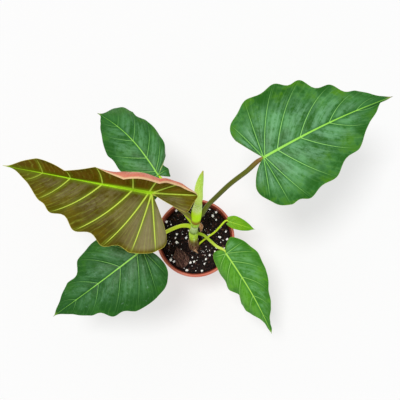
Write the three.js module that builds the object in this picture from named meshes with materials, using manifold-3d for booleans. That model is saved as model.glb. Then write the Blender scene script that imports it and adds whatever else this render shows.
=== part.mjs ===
// A young philodendron corsinianum in a 12 cm nursery pot.
// Millimetres, +Z up. The origin is the middle of the pot's underside, and +Y points to the back.
import * as THREE from 'three';
import Module from 'manifold-3d';
import { mergeVertices } from 'three/addons/utils/BufferGeometryUtils.js';

const wasm = await Module();
wasm.setup();

const DEG = Math.PI / 180;
// The play left between two pieces that touch on the real plant.
const GAP = 0.35;

// The pot is a plain tapered cup with a rolled lip and a foot ring.
const POT = {
  height: 105,
  rimRadius: 60,
  lipHeight: 12,
  lipStep: 2.6,
  wall: 1.8,
  baseRadius: 42,
  floorTop: 5.5,
  footHeight: 2.5,
  footWidth: 6,
  hubRadius: 11,
  cornerRadius: 1.2,
  segments: 44,
};
const DRAIN = { count: 6, radius: 4.5, circle: 23, sides: 10 };

// The soil fills the pot to a finger's width under the rim.
const SOIL = {
  top: 93,
  rings: 7,
  sectors: 30,
  swell: 1.3,
  perlite: 34,
  crumbs: 24,
  seed: 41,
};

// A big flake of bark lies on the soil, left of the stem and in front of it.
const CHIP = {
  centre: [-21, -28.5, 97.5],
  outline: [[-10, -9], [-5, -15], [5, -14], [10, -7], [11, 4], [5, 12], [-3, 15], [-9, 13], [-12, 3]],
  thickness: 5,
  turn: [7, -6, 24],
};

// The stem leans back. Each row holds a point of its middle line and its radius there.
const STEM = {
  rows: [
    [-2.6, -17, 80, 6.2], [-2.3, -11.5, 93, 6.4], [-2.6, -7.5, 101, 6.6], [-3, -3.5, 110, 7.1],
    [-3, 0.5, 119, 6.5], [-3, 2, 122.5, 6.9], [-2.6, 6, 132, 6.9], [-1.9, 9, 138.5, 5.7],
    [-1.2, 11, 143, 5.8], [-0.5, 13, 149, 5.9], [-0.1, 14.6, 153, 6.7], [0.4, 17, 160.5, 6.5],
  ],
  sides: 12,
};
// Papery brown remains of the oldest sheath stand round the foot of the stem.
const DRY_COLLAR = {
  rows: [[-2.5, -15, 87, 8.6], [-2.4, -11.2, 94, 8.9], [-2.6, -7.8, 101, 8.5], [-2.9, -5, 107, 8]],
  sides: 14,
  notch: 2.4,
};
// The youngest sheath clasps the foot of the rolled leaf.
const SHEATH = {
  rows: [[0.6, 17.7, 161.9, 6.9], [1.5, 24, 175, 7.3], [2.6, 29.6, 187, 7], [4.2, 35.8, 200, 5.7]],
  sides: 12,
};
// The next leaf is still rolled into a pointed spear.
const SPEAR = {
  rows: [
    [3.4, 32.5, 193, 3.4], [4.6, 37.6, 203, 4.8], [5.3, 44, 214, 5.5], [5, 50.5, 227, 5.8],
    [6.4, 57.5, 241, 5], [8.6, 64.5, 253, 3.2], [11, 70.5, 262, 0.9],
  ],
  sides: 12,
};

// Blades are thin sheets. The midrib and the main veins stand out below, and the blade puffs up between them.
const BLADE = { thickness: 0.8, midribDepth: 1.3, veinDepth: 0.45, sweep: 0.16, rowsPerVein: 3, hemWidth: 9 };
// Places of the mesh columns from the midrib, 0, to the margin, 1.
const COLUMNS = [0.05, 0.22, 0.42, 0.62, 0.82, 1];
// A half that rolls in at its margin needs more columns there.
const HEM_COLUMNS = [0.05, 0.22, 0.42, 0.62, 0.78, 0.86, 0.93, 1];

// Each leaf is given in its own frame: x runs along the midrib from the stalk, y to the left of it.
// A vein row holds its start on the midrib, then its end on the left margin and how deep the margin
// dips before the next vein, and the same for the right margin. The first row is the edge of the notch.
// fold and edge are the slopes of a half beside the midrib and at its margin, in degrees, rising above 0.
// lobe is how far the two edges of the notch bulge, as a share of their length.
const LEAVES = [
  {
    name: 'right_leaf',
    colour: 0x3f7d45,
    stalkColour: 0x8a8a35,
    attach: [94.6, 92.3, 250], heading: 27, pitch: 3.5, droop: 22, roll: 0, length: 215, bow: 3,
    fold: 10, edge: -22, puff: 1.6, wave: 1.6,
    veins: [
      [0, -22.5, 40, 0, -27.5, -31, -1],
      [0, -18.5, 65, 3, -19, -58, -2],
      [0, 15.5, 87, 6, 4, -76, 4.5],
      [2, 64, 89, 8.5, 34, -81.5, 5],
      [22, 101, 77, 11.5, 80, -73, 7.5],
      [58, 138.5, 51.5, 8, 130.5, -50.5, 2],
      [105, 169, 28, 0.5, 161, -23.5, -2],
      [150, 195, 8.5, -0.5, 192, -2, -1.5],
    ],
    lobe: [0.05, 0.18],
    stalk: { path: [[-1, 19, 160], [8.5, 25.5, 172], [18, 36.5, 185], [29, 45.5, 197], [47, 60, 216], [71, 75.5, 236]],
      radius: 3.7, endRadius: 2.2, baseRadius: 4.6 },
  },
  {
    name: 'new_bronze_leaf',
    colour: 0x7a5f2c,
    stalkColour: 0x9cab45,
    attach: [-59.1, 42.4, 250], heading: 170.2, pitch: 5, droop: 0, roll: 0, length: 205, bow: 0,
    fold: 8, edge: -20, puff: 1.8, wave: 1.4,
    veins: [
      [0, -30, 52, -2, -50, 17, 4],
      [0, -20, 78, 0, -67, -8, 2],
      [0, 13, 86, 7, -50, -28, 4],
      [4, 53, 84, 9, -20, -58, -2],
      [26, 95, 70, 9, 36, -80, 9],
      [68, 132, 51, 2.5, 78, -63, 2],
      [112, 151, 36, 0, 118, -44, 2],
      [150, 173, 13.5, 1.5, 160, -28, -2],
    ],
    lobe: [0.04, 0.05],
    // The right half of this leaf has not opened: it stands up, rolls in, and its lobe turns backwards.
    // hem is how much more its outermost strip rolls in, in degrees.
    right: {
      fold: [0, 2, 14, 40, 46, 68, 78, 55],
      edge: [-6, 18, 64, 116, 132, 94, 100, 66],
      rise: [160, 206, 238, 257, 268, 270, 270, 270],
      hem: [0, 90, 130, 80, 60, 0, 0, 0],
    },
    stalk: { path: [[-1, 18, 164], [-10, 24, 175], [-22, 30, 192], [-36, 37, 216], [-46, 41, 236]],
      radius: 3, endRadius: 2.2, baseRadius: 4 },
  },
  {
    name: 'back_leaf',
    colour: 0x3c7a4c,
    stalkColour: 0x9cab45,
    attach: [-53.5, 79.1, 195], heading: 132.5, pitch: 0, droop: 30, roll: 0, length: 146, bow: -8,
    fold: 8, edge: -34, puff: 1.5, wave: 1.3,
    veins: [
      [0, -20, 18, -2, -13, -12, 1],
      [0, -16, 38, 0, -3, -18.5, 8],
      [0, 14, 47, 3, 17, -27.5, -3],
      [6, 51, 44, 2, 49, -38, 0],
      [30, 82, 42.5, 0, 80.5, -38.5, 4.5],
      [64, 114, 24, 0, 111, -35, -1.5],
      [100, 130, 9.5, 2, 135.5, -25, 5],
    ],
    lobe: [0.15, 0.1],
    stalk: { path: [[-1, 13, 149], [-12, 26, 156], [-26, 45, 170], [-40, 62, 184]],
      radius: 2.8, endRadius: 2, baseRadius: 3.6 },
  },
  {
    name: 'front_left_leaf',
    colour: 0x43804a,
    stalkColour: 0xbdd24a,
    attach: [-75.5, -28, 182], heading: -145, pitch: -3, droop: 24, roll: 0, length: 169, bow: 2,
    fold: 9, edge: -22, puff: 1.6, wave: 1.5,
    veins: [
      [0, -14, 27, 0, -13, -18, -2],
      [0, -9, 51.5, -2.5, -9, -40, -2],
      [0, 21, 67, 0, 18, -54, 2],
      [10, 57.5, 65.5, 5.5, 57, -55, 2],
      [40, 92, 51.5, 6, 88, -48, 10],
      [80, 119.5, 31, -0.5, 123, -28, 0],
      [122, 144, 12, 0.5, 149.5, -11.5, -1],
    ],
    lobe: [0.22, 0.1],
    stalk: { path: [[-2, 10, 138], [-11, 14, 145], [-24, 11, 154], [-41, 1, 165], [-58, -13, 174]],
      radius: 2.8, endRadius: 2, baseRadius: 3.8 },
  },
  {
    name: 'front_right_leaf',
    colour: 0x55922f,
    stalkColour: 0xc3d84a,
    attach: [45.3, -29.6, 150], heading: -58.5, pitch: -9.6, droop: 30, roll: 0, length: 151, bow: 3,
    fold: 6, edge: -22, puff: 1.2, wave: 1.1,
    veins: [
      [0, -17, 17.5, 0.5, -9, -9, -1],
      [0, -2, 33.5, 1.5, -4, -23, 0],
      [0, 24, 41.5, 1.5, 24, -30, 2.5],
      [14, 55, 37.5, -0.5, 54.5, -32.5, 9],
      [42, 85, 25, -0.5, 87, -25.5, -2],
      [76, 111, 16, 2, 107, -19, 1],
      [112, 132.5, 5, -2, 126.5, -4.5, -1.5],
    ],
    lobe: [0.25, 0.1],
    right: { fold: [-20], edge: [-58], rise: [270] },
    stalk: { path: [[-2, 3, 118], [5, 4, 127], [14, 0, 136], [23, -8, 142], [34, -18, 146.5]],
      radius: 2.4, endRadius: 1.7, baseRadius: 3.2 },
  },
  {
    name: 'small_leaf',
    colour: 0x62a52c,
    stalkColour: 0xbdd24a,
    attach: [50, 20.2, 135], heading: -15, pitch: -5, droop: 15, roll: 0, length: 43, bow: 0,
    fold: 8, edge: -8, puff: 0.5, wave: 0.3,
    veins: [
      [0, -4, 5, 0, -3, -4, 0],
      [0, 6, 11, 0, 6, -8, 0],
      [6, 20, 9.5, 0, 20, -8, 0],
      [18, 32, 5, 0, 32, -5, 0],
    ],
    lobe: [0.05, 0.05],
    stalk: { path: [[3, -12, 84], [4.5, -9.5, 94], [10, -5.5, 101], [19, 0.5, 109], [31, 8, 119]],
      radius: 1.5, endRadius: 1.1, baseRadius: 1.8 },
  },
];

// A small seeded generator, so that the soil comes out the same every time.
function makeRandom(seed) {
  let state = seed;
  return () => {
    state = (Math.imul(state, 1664525) + 1013904223) >>> 0;
    return state / 4294967296;
  };
}

// Turns a closed three.js geometry into a solid that can be joined and cut.
function toSolid(geometry) {
  const plain = geometry.clone();
  for (const name of Object.keys(plain.attributes)) {
    if (name !== 'position') plain.deleteAttribute(name);
  }
  const merged = mergeVertices(plain, 1e-4);
  return new wasm.Manifold(new wasm.Mesh({
    numProp: 3,
    vertProperties: new Float32Array(merged.attributes.position.array),
    triVerts: new Uint32Array(merged.index.array),
  }));
}

// Turns a solid back into a geometry. Only its biggest body is kept, so no loose scrap is left.
function toGeometry(solid) {
  const bodies = solid.decompose();
  const biggest = bodies.reduce((best, body) => (body.volume() > best.volume() ? body : best));
  const mesh = biggest.getMesh();
  const positions = new Float32Array(mesh.numVert * 3);
  for (let i = 0; i < mesh.numVert; i += 1) {
    for (let axis = 0; axis < 3; axis += 1) {
      positions[i * 3 + axis] = mesh.vertProperties[i * mesh.numProp + axis];
    }
  }
  const geometry = new THREE.BufferGeometry();
  geometry.setAttribute('position', new THREE.BufferAttribute(positions, 3));
  geometry.setIndex(new THREE.BufferAttribute(new Uint32Array(mesh.triVerts), 1));
  return geometry;
}

function indexedGeometry(points, triangles) {
  const geometry = new THREE.BufferGeometry();
  geometry.setFromPoints(points);
  geometry.setIndex(triangles.flat());
  return geometry;
}

function part(name, geometry, colour, roughness) {
  geometry.computeVertexNormals();
  const material = new THREE.MeshStandardMaterial({ color: colour, roughness, metalness: 0 });
  const mesh = new THREE.Mesh(geometry, material);
  mesh.name = name;
  return mesh;
}

// A round rod through the rows' points, with the rows' radii, made grow thicker than it is.
function rod(rows, { sides, steps, grow = 0, shape = () => 1 }) {
  const curve = new THREE.CatmullRomCurve3(rows.map(([x, y, z]) => new THREE.Vector3(x, y, z)));
  const frames = curve.computeFrenetFrames(steps, false);
  const radii = rows.map((row) => row[3]);
  const points = [];
  for (let i = 0; i <= steps; i += 1) {
    const u = i / steps;
    const along = curve.getUtoTmapping(u) * (radii.length - 1);
    const low = Math.min(Math.floor(along), radii.length - 2);
    const radius = THREE.MathUtils.lerp(radii[low], radii[low + 1], along - low) + grow;
    const centre = curve.getPointAt(u);
    for (let j = 0; j < sides; j += 1) {
      const angle = (j / sides) * 2 * Math.PI;
      points.push(centre.clone()
        .addScaledVector(frames.normals[i], Math.cos(angle) * radius * shape(u, angle))
        .addScaledVector(frames.binormals[i], Math.sin(angle) * radius * shape(u, angle)));
    }
  }
  const triangles = [];
  for (let i = 0; i < steps; i += 1) {
    for (let j = 0; j < sides; j += 1) {
      const a = i * sides + j;
      const b = i * sides + ((j + 1) % sides);
      triangles.push([a, b, b + sides], [a, b + sides, a + sides]);
    }
  }
  const first = points.push(curve.getPointAt(0)) - 1;
  const last = points.push(curve.getPointAt(1)) - 1;
  for (let j = 0; j < sides; j += 1) {
    const next = (j + 1) % sides;
    triangles.push([first, next, j], [last, steps * sides + j, steps * sides + next]);
  }
  return indexedGeometry(points, triangles);
}

function makePot() {
  const topInner = POT.rimRadius - POT.lipStep - POT.wall;
  const wallTop = POT.height - POT.lipHeight;
  const foot = POT.baseRadius - POT.footWidth;
  const c = POT.cornerRadius;
  const profile = [
    [0, 0],
    [POT.hubRadius, 0],
    [POT.hubRadius + 1, POT.footHeight],
    [foot - 1, POT.footHeight],
    [foot, 0],
    [POT.baseRadius - c, 0],
    [POT.baseRadius, c],
    [POT.rimRadius - POT.lipStep, wallTop],
    [POT.rimRadius - 0.4, wallTop],
    [POT.rimRadius, wallTop + c],
    [POT.rimRadius, POT.height - c],
    [POT.rimRadius - c, POT.height],
    [topInner + c, POT.height],
    [topInner, POT.height - c],
    [POT.baseRadius - POT.wall, POT.floorTop],
    [0, POT.floorTop],
  ];
  const cup = new THREE.LatheGeometry(profile.map(([x, y]) => new THREE.Vector2(x, y)), POT.segments);
  cup.rotateX(Math.PI / 2);
  let solid = toSolid(cup);
  for (let i = 0; i < DRAIN.count; i += 1) {
    const angle = (i / DRAIN.count) * 2 * Math.PI;
    const drill = new THREE.CylinderGeometry(DRAIN.radius, DRAIN.radius, POT.floorTop * 3, DRAIN.sides);
    drill.rotateX(Math.PI / 2);
    drill.translate(DRAIN.circle * Math.cos(angle), DRAIN.circle * Math.sin(angle), 0);
    solid = solid.subtract(toSolid(drill));
  }
  return part('pot', toGeometry(solid), 0xc8664f, 0.45);
}

// The inner radius of the pot at a height.
function potInside(z) {
  const topInner = POT.rimRadius - POT.lipStep - POT.wall;
  const t = (z - POT.floorTop) / (POT.height - POT.cornerRadius - POT.floorTop);
  return THREE.MathUtils.lerp(POT.baseRadius - POT.wall, topInner, t);
}

function soilHeight(x, y) {
  const broad = Math.sin(x * 0.11 + 0.7) * Math.cos(y * 0.09 - 0.4);
  const fine = Math.sin(x * 0.31 + y * 0.17) * Math.sin(y * 0.37 - x * 0.12 + 1);
  return SOIL.top + SOIL.swell * (0.6 * broad + 0.6 * fine);
}

function makeSoil(cutters) {
  const bottom = POT.floorTop + GAP;
  const points = [new THREE.Vector3(0, 0, soilHeight(0, 0))];
  const triangles = [];
  const at = (ring, sector) => (ring === 0 ? 0 : 1 + (ring - 1) * SOIL.sectors + (sector % SOIL.sectors));
  for (let ring = 1; ring <= SOIL.rings + 1; ring += 1) {
    for (let sector = 0; sector < SOIL.sectors; sector += 1) {
      const angle = (sector / SOIL.sectors) * 2 * Math.PI;
      const low = ring > SOIL.rings;
      const radius = low ? potInside(bottom) - 1 : (potInside(SOIL.top) - 1.2) * (ring / SOIL.rings);
      const x = radius * Math.cos(angle);
      const y = radius * Math.sin(angle);
      points.push(new THREE.Vector3(x, y, low ? bottom : soilHeight(x, y)));
    }
  }
  const base = points.push(new THREE.Vector3(0, 0, bottom)) - 1;
  for (let sector = 0; sector < SOIL.sectors; sector += 1) {
    triangles.push([0, at(1, sector), at(1, sector + 1)]);
    for (let ring = 1; ring <= SOIL.rings; ring += 1) {
      triangles.push([at(ring, sector), at(ring + 1, sector), at(ring + 1, sector + 1)]);
      triangles.push([at(ring, sector), at(ring + 1, sector + 1), at(ring, sector + 1)]);
    }
    triangles.push([base, at(SOIL.rings + 1, sector + 1), at(SOIL.rings + 1, sector)]);
  }
  let solid = toSolid(indexedGeometry(points, triangles));
  const random = makeRandom(SOIL.seed);
  for (let i = 0; i < SOIL.perlite + SOIL.crumbs; i += 1) {
    const isPerlite = i < SOIL.perlite;
    const size = isPerlite ? 1.5 + random() * 1.1 : 2 + random() * 2.2;
    const radius = (potInside(SOIL.top) - 5 - size) * Math.sqrt(random());
    const angle = random() * 2 * Math.PI;
    const x = radius * Math.cos(angle);
    const y = radius * Math.sin(angle);
    const grain = new THREE.IcosahedronGeometry(size, 0);
    grain.scale(1, isPerlite ? 0.9 : 0.55 + random() * 0.3, isPerlite ? 0.8 : 0.5);
    grain.rotateZ(random() * Math.PI);
    grain.rotateX(random() * 0.7);
    grain.translate(x, y, soilHeight(x, y) + size * 0.12);
    solid = solid.add(toSolid(grain));
  }
  for (const cutter of cutters) solid = solid.subtract(toSolid(cutter));
  return part('soil', toGeometry(solid), 0x2c1713, 0.95);
}

// The bark flake, or with grow above 0 the pocket that it lies in.
function chipGeometry(grow) {
  const shape = new THREE.Shape(CHIP.outline.map(([x, y]) => {
    const scale = 1 + grow / Math.hypot(x, y);
    return new THREE.Vector2(x * scale, y * scale);
  }));
  const geometry = new THREE.ExtrudeGeometry(shape, {
    depth: CHIP.thickness + 2 * grow,
    steps: 1,
    bevelEnabled: true,
    bevelSize: 0.9,
    bevelThickness: 0.9,
    bevelSegments: 1,
  });
  geometry.translate(0, 0, -CHIP.thickness / 2 - grow);
  geometry.rotateX(CHIP.turn[0] * DEG);
  geometry.rotateY(CHIP.turn[1] * DEG);
  geometry.rotateZ(CHIP.turn[2] * DEG);
  geometry.translate(...CHIP.centre);
  return geometry;
}

const stemRod = (grow) => rod(STEM.rows, { sides: STEM.sides, steps: 24, grow });
const spearRod = (grow) => rod(SPEAR.rows, { sides: SPEAR.sides, steps: 14, grow });
const sheathRod = (grow) => rod(SHEATH.rows, { sides: SHEATH.sides, steps: 8, grow });

function collarRod(grow) {
  const ragged = (u, angle) => 1 + 0.05 * Math.sin(3 * angle + 1) * u;
  return rod(DRY_COLLAR.rows, { sides: DRY_COLLAR.sides, steps: 6, grow, shape: ragged });
}

function makeCollar() {
  let solid = toSolid(collarRod(0)).subtract(toSolid(stemRod(GAP)));
  const [x, y, z] = DRY_COLLAR.rows.at(-1);
  for (const turn of [20, 130, 250]) {
    const tear = new THREE.ConeGeometry(DRY_COLLAR.notch, 9, 4);
    tear.rotateX(-Math.PI / 2);
    tear.translate(x + 8 * Math.cos(turn * DEG), y + 8 * Math.sin(turn * DEG), z - 2);
    solid = solid.subtract(toSolid(tear));
  }
  return part('dry_sheath_collar', toGeometry(solid), 0x6b4028, 0.9);
}

// A point and a slope angle on an arc that starts at an angle and bends evenly over its length.
function arcPoint(start, bendPerLength, length) {
  if (Math.abs(bendPerLength) < 1e-6) {
    return [length * Math.cos(start), length * Math.sin(start)];
  }
  const end = start + bendPerLength * length;
  return [(Math.sin(end) - Math.sin(start)) / bendPerLength, (Math.cos(start) - Math.cos(end)) / bendPerLength];
}

function catmull(a, b, c, d, t) {
  return 0.5 * (2 * b + (c - a) * t + (2 * a - 5 * b + 4 * c - d) * t * t + (3 * b - a - 3 * c + d) * t * t * t);
}

// The axes of a leaf: along its midrib, to its left, and out of its upper face.
function leafAxes(leaf) {
  const turn = new THREE.Matrix4().makeRotationZ(leaf.heading * DEG)
    .multiply(new THREE.Matrix4().makeRotationY(-leaf.pitch * DEG))
    .multiply(new THREE.Matrix4().makeRotationX(leaf.roll * DEG));
  const [along, left, up] = [new THREE.Vector3(), new THREE.Vector3(), new THREE.Vector3()];
  turn.extractBasis(along, left, up);
  return { along, left, up };
}

// The point of a blade whose place on the midrib is x, y to the left and z above the midrib.
function leafPoint(leaf, axes, x, y, z) {
  const bend = x > 0 ? (-leaf.droop * DEG) / leaf.length : 0;
  const [midX, midZ] = arcPoint(0, bend, x);
  const tilt = bend * x;
  const sideways = x > 0 ? leaf.bow * Math.sin((Math.PI * x) / leaf.length) : 0;
  return new THREE.Vector3(...leaf.attach)
    .addScaledVector(axes.along, midX - Math.sin(tilt) * z)
    .addScaledVector(axes.left, y + sideways)
    .addScaledVector(axes.up, midZ + Math.cos(tilt) * z);
}

// One half of a leaf: its ribs and the two slopes and the direction in which each of them rises.
function halfOf(leaf, side) {
  const column = side > 0 ? 1 : 4;
  const ribs = leaf.veins.map((row) => ({ at: row[0], x: row[column], y: row[column + 1], dip: row[column + 2] }));
  ribs.push({ at: leaf.length, x: leaf.length, y: 0, dip: 0 });
  const own = side < 0 ? leaf.right : undefined;
  const pick = (list, i, fallback) => (list ? list[Math.min(i, list.length - 1)] : fallback);
  ribs.forEach((rib, i) => {
    rib.fold = pick(own?.fold, i, leaf.fold) * DEG;
    rib.edge = pick(own?.edge, i, leaf.edge) * DEG;
    rib.rise = pick(own?.rise, i, 90 * side) * DEG;
    rib.hem = pick(own?.hem, i, 0) * DEG;
  });
  return ribs;
}

// The rib at a place between two veins: its start, its end on the margin and its slopes.
function ribAt(leaf, ribs, side, row) {
  const i = Math.min(Math.floor(row), ribs.length - 2);
  const t = row - i;
  const [b, c] = [ribs[i], ribs[i + 1]];
  const a = i > 0 ? ribs[i - 1] : { x: 0, y: 0 };
  const d = i + 2 < ribs.length ? ribs[i + 2] : { x: 2 * leaf.length - b.x, y: b.y };
  let x = catmull(a.x, b.x, c.x, d.x, t);
  let y = catmull(a.y, b.y, c.y, d.y, t);
  const [dx, dy] = [c.x - b.x, c.y - b.y];
  const chord = Math.hypot(dx, dy);
  const dip = (b.dip * (1 - Math.cos(2 * Math.PI * t))) / 2;
  x -= (side * dip * -dy) / chord;
  y -= (side * dip * dx) / chord;
  const mix = (key) => THREE.MathUtils.lerp(b[key], c[key], t);
  const lobe = (leaf.lobe[side > 0 ? 0 : 1]) * Math.max(0, 1 - row);
  return { at: mix('at'), x, y, fold: mix('fold'), edge: mix('edge'), rise: mix('rise'), hem: mix('hem'), lobe,
    between: t };
}

// A point of the blade's middle surface, on the rib of a row, across its half from 0 to 1.
function bladePoint(leaf, axes, rib, side, across) {
  const [dx, dy] = [rib.x - rib.at, rib.y];
  const sweep = BLADE.sweep * Math.max(0, dx / (Math.hypot(dx, dy) + 1)) + rib.lobe;
  const bulge = sweep * 2 * across * (1 - across);
  const px = across * dx - side * bulge * dy;
  const py = across * dy + side * bulge * dx;
  const [rx, ry] = [Math.cos(rib.rise), Math.sin(rib.rise)];
  const out = px * rx + py * ry;
  const reach = Math.max(1, dx * rx + dy * ry);
  const bend = (rib.edge - rib.fold) / reach;
  const inner = rib.hem > 0 ? Math.min(out, reach - BLADE.hemWidth) : out;
  const arcs = [arcPoint(rib.fold, bend, inner),
    arcPoint(rib.fold + bend * inner, bend + rib.hem / BLADE.hemWidth, out - inner)];
  const [flat, height] = [arcs[0][0] + arcs[1][0], arcs[0][1] + arcs[1][1]];
  const reachShare = Math.min(1, (reach - 1) / 20);
  const puff = leaf.puff * reachShare * Math.sin(Math.PI * rib.between) * Math.sin(Math.PI * across) ** 0.8;
  const wave = leaf.wave * reachShare * across * across * Math.cos(2 * Math.PI * rib.between);
  return leafPoint(leaf, axes, rib.at + px + (flat - out) * rx, py + (flat - out) * ry, height + puff - wave);
}

// How far the midrib, or a main vein, stands out of the lower face.
function ridgeDepth(leaf, rib, onVein, across) {
  const size = Math.min(1, leaf.length / 130);
  if (across === 0) return size * BLADE.midribDepth * (1 - 0.85 * (rib.at / leaf.length));
  return onVein ? size * BLADE.veinDepth * (1 - across) : 0;
}

// Both halves of a blade as one sheet, then an upper face, a lower face with its ribs, and the rim between.
function bladeGeometry(leaf) {
  const axes = leafAxes(leaf);
  const halves = { 1: halfOf(leaf, 1), '-1': halfOf(leaf, -1) };
  const places = [...COLUMNS.map((b) => -b).reverse(), 0, ...(leaf.right?.hem ? HEM_COLUMNS : COLUMNS)];
  const rowCount = (halves[1].length - 1) * BLADE.rowsPerVein;
  const middle = [];
  const depth = [];
  const known = new Map();
  const grid = [];
  for (let r = 0; r <= rowCount; r += 1) {
    const row = r / BLADE.rowsPerVein;
    grid.push(places.map((place) => {
      const side = place > 0 ? -1 : 1;
      const rib = ribAt(leaf, halves[side], side, row);
      const point = bladePoint(leaf, axes, rib, side, Math.abs(place));
      const key = point.toArray().map((v) => v.toFixed(3)).join();
      if (!known.has(key)) {
        known.set(key, middle.push(point) - 1);
        depth.push(ridgeDepth(leaf, rib, r % BLADE.rowsPerVein === 0 && r > 0, Math.abs(place)));
      }
      return known.get(key);
    }));
  }
  const sheet = [];
  for (let r = 0; r < rowCount; r += 1) {
    for (let c = 0; c + 1 < places.length; c += 1) {
      const [a, b, d, e] = [grid[r][c], grid[r][c + 1], grid[r + 1][c], grid[r + 1][c + 1]];
      const quad = places[c] < 0 ? [[a, b, e], [a, e, d]] : [[a, b, d], [b, e, d]];
      sheet.push(...quad.filter(([i, j, k]) => i !== j && j !== k && i !== k));
    }
  }
  const normals = middle.map(() => new THREE.Vector3());
  for (const [i, j, k] of sheet) {
    const normal = middle[j].clone().sub(middle[i]).cross(middle[k].clone().sub(middle[i]));
    for (const corner of [i, j, k]) normals[corner].add(normal);
  }
  normals.forEach((normal) => normal.normalize());
  const count = middle.length;
  const half = BLADE.thickness / 2;
  const upper = middle.map((point, i) => point.clone().addScaledVector(normals[i], half));
  const lower = middle.map((point, i) => point.clone().addScaledVector(normals[i], -half - depth[i]));
  const triangles = [];
  const edges = new Map();
  for (const [i, j, k] of sheet) {
    triangles.push([i, j, k], [i + count, k + count, j + count]);
    for (const [from, to] of [[i, j], [j, k], [k, i]]) {
      if (!edges.delete(`${to}_${from}`)) edges.set(`${from}_${to}`, [from, to]);
    }
  }
  for (const [from, to] of edges.values()) {
    triangles.push([to, from, from + count], [to, from + count, to + count]);
  }
  return indexedGeometry([...upper, ...lower], triangles);
}

// The stalk comes up out of the stem and ends just under the blade, where its midrib starts.
function stalkRows(leaf) {
  const { along, up } = leafAxes(leaf);
  const { path, radius, endRadius, baseRadius } = leaf.stalk;
  const attach = new THREE.Vector3(...leaf.attach);
  const drop = endRadius + BLADE.thickness / 2 + BLADE.midribDepth + GAP;
  const end = attach.clone().addScaledVector(along, endRadius * 0.3).addScaledVector(up, -drop);
  const neck = attach.clone().addScaledVector(along, -4.5 * endRadius).addScaledVector(up, -drop - endRadius * 1.6);
  const rows = path.map((point, i) => [...point, THREE.MathUtils.lerp(baseRadius, radius, Math.min(1, i / 2))]);
  rows.push([...neck.toArray(), radius * 0.95]);
  rows.push([...end.toArray(), endRadius]);
  return rows;
}

function stalkRod(leaf, grow) {
  return rod(stalkRows(leaf), { sides: 8, steps: 15, grow });
}

const plant = new THREE.Group();
const smallLeaf = LEAVES.find((leaf) => leaf.name === 'small_leaf');
plant.add(makePot());
plant.add(makeSoil([stemRod(GAP), collarRod(GAP), stalkRod(smallLeaf, GAP), chipGeometry(GAP)]));
plant.add(part('bark_flake', toGeometry(toSolid(chipGeometry(0))), 0x6a3a2a, 0.85));
plant.add(part('stem', stemRod(0), 0x9fb56a, 0.5));
plant.add(makeCollar());
plant.add(part('sheath', toGeometry(toSolid(sheathRod(0)).subtract(toSolid(spearRod(GAP)))), 0xa9d23c, 0.45));
plant.add(part('rolled_leaf', spearRod(0), 0xb8de5a, 0.45));
const stalkCutters = [stemRod(GAP), sheathRod(GAP), collarRod(GAP)].map(toSolid);
for (const leaf of LEAVES) {
  plant.add(part(`${leaf.name}_blade`, bladeGeometry(leaf), leaf.colour, 0.4));
  let stalk = toSolid(stalkRod(leaf, 0));
  for (const cutter of stalkCutters) stalk = stalk.subtract(cutter);
  plant.add(part(`${leaf.name}_stalk`, toGeometry(stalk), leaf.stalkColour, 0.45));
}

export default plant;
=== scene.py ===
"""The looks of a young potted philodendron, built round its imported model.

Sizes are in millimetres until a mesh is made, colours are sRGB from 0 to 255, and +Y points to the back.
"""

import logging
import math
import random
from dataclasses import dataclass, replace
from enum import Enum
from functools import cache, cached_property
from typing import Callable, ClassVar

import bmesh
import bpy
from mathutils import Matrix, Vector, noise


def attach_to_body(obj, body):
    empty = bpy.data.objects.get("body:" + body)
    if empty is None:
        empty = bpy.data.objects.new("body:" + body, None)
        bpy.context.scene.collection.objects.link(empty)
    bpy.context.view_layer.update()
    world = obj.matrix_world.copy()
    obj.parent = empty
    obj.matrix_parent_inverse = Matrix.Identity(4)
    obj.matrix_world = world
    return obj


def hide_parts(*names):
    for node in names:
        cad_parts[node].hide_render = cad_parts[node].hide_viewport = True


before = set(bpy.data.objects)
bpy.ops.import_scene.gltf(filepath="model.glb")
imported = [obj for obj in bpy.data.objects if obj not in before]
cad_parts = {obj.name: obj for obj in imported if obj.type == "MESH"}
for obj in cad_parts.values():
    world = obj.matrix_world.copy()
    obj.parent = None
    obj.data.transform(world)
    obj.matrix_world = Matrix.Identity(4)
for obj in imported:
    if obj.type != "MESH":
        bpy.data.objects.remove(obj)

LOG = logging.getLogger("philodendron")
MM = 0.001
BODY = "root"
TURN = 2 * math.pi
MERGE = 1e-7

Rgb = tuple[int, int, int]
Point = tuple[float, float, float]
Row = tuple[float, float, float, float]
Marks = dict[str, tuple[float, float]]
Vertex = bmesh.types.BMVert


class Slot(Enum):
    """The record's material slots."""

    TERRACOTTA = "terracotta_plastic"
    SOIL = "potting_soil"
    BARK = "bark"
    STEM = "green_stem"
    DRY_SHEATH = "dry_sheath"
    YOUNG_SHEATH = "young_sheath"
    ROLLED_LEAF = "rolled_leaf"
    GREEN_LEAF = "green_leaf"
    BRONZE_LEAF = "bronze_leaf"
    FRESH_LEAF = "fresh_leaf"
    OLIVE_STALK = "olive_stalk"
    GREEN_STALK = "green_stalk"


class Side(Enum):
    """The two halves of a blade, seen from its stalk."""

    LEFT = 1
    RIGHT = -1


class Face(Enum):
    """The two faces of a blade, with the numbers of their materials."""

    UPPER = 0
    LOWER = 1


class Loose(Enum):
    """The loose things on the soil, with the numbers of their materials."""

    MIX = 0
    BARK = 1
    PERLITE = 2


def lerp(a: float, b: float, t: float) -> float:
    """Gives the value at share t of the way from a to b."""
    return a + (b - a) * t


def ease(low: float, high: float, value: float) -> float:
    """Gives 0 at low and 1 at high, with a smooth start and end."""
    t = min(1.0, max(0.0, (value - low) / (high - low)))
    return t * t * (3 - 2 * t)


def bell(distance: float, width: float) -> float:
    """Gives 1 at a distance of 0, falling off softly over a width."""
    return math.exp(-((distance / width) ** 2))


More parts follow.
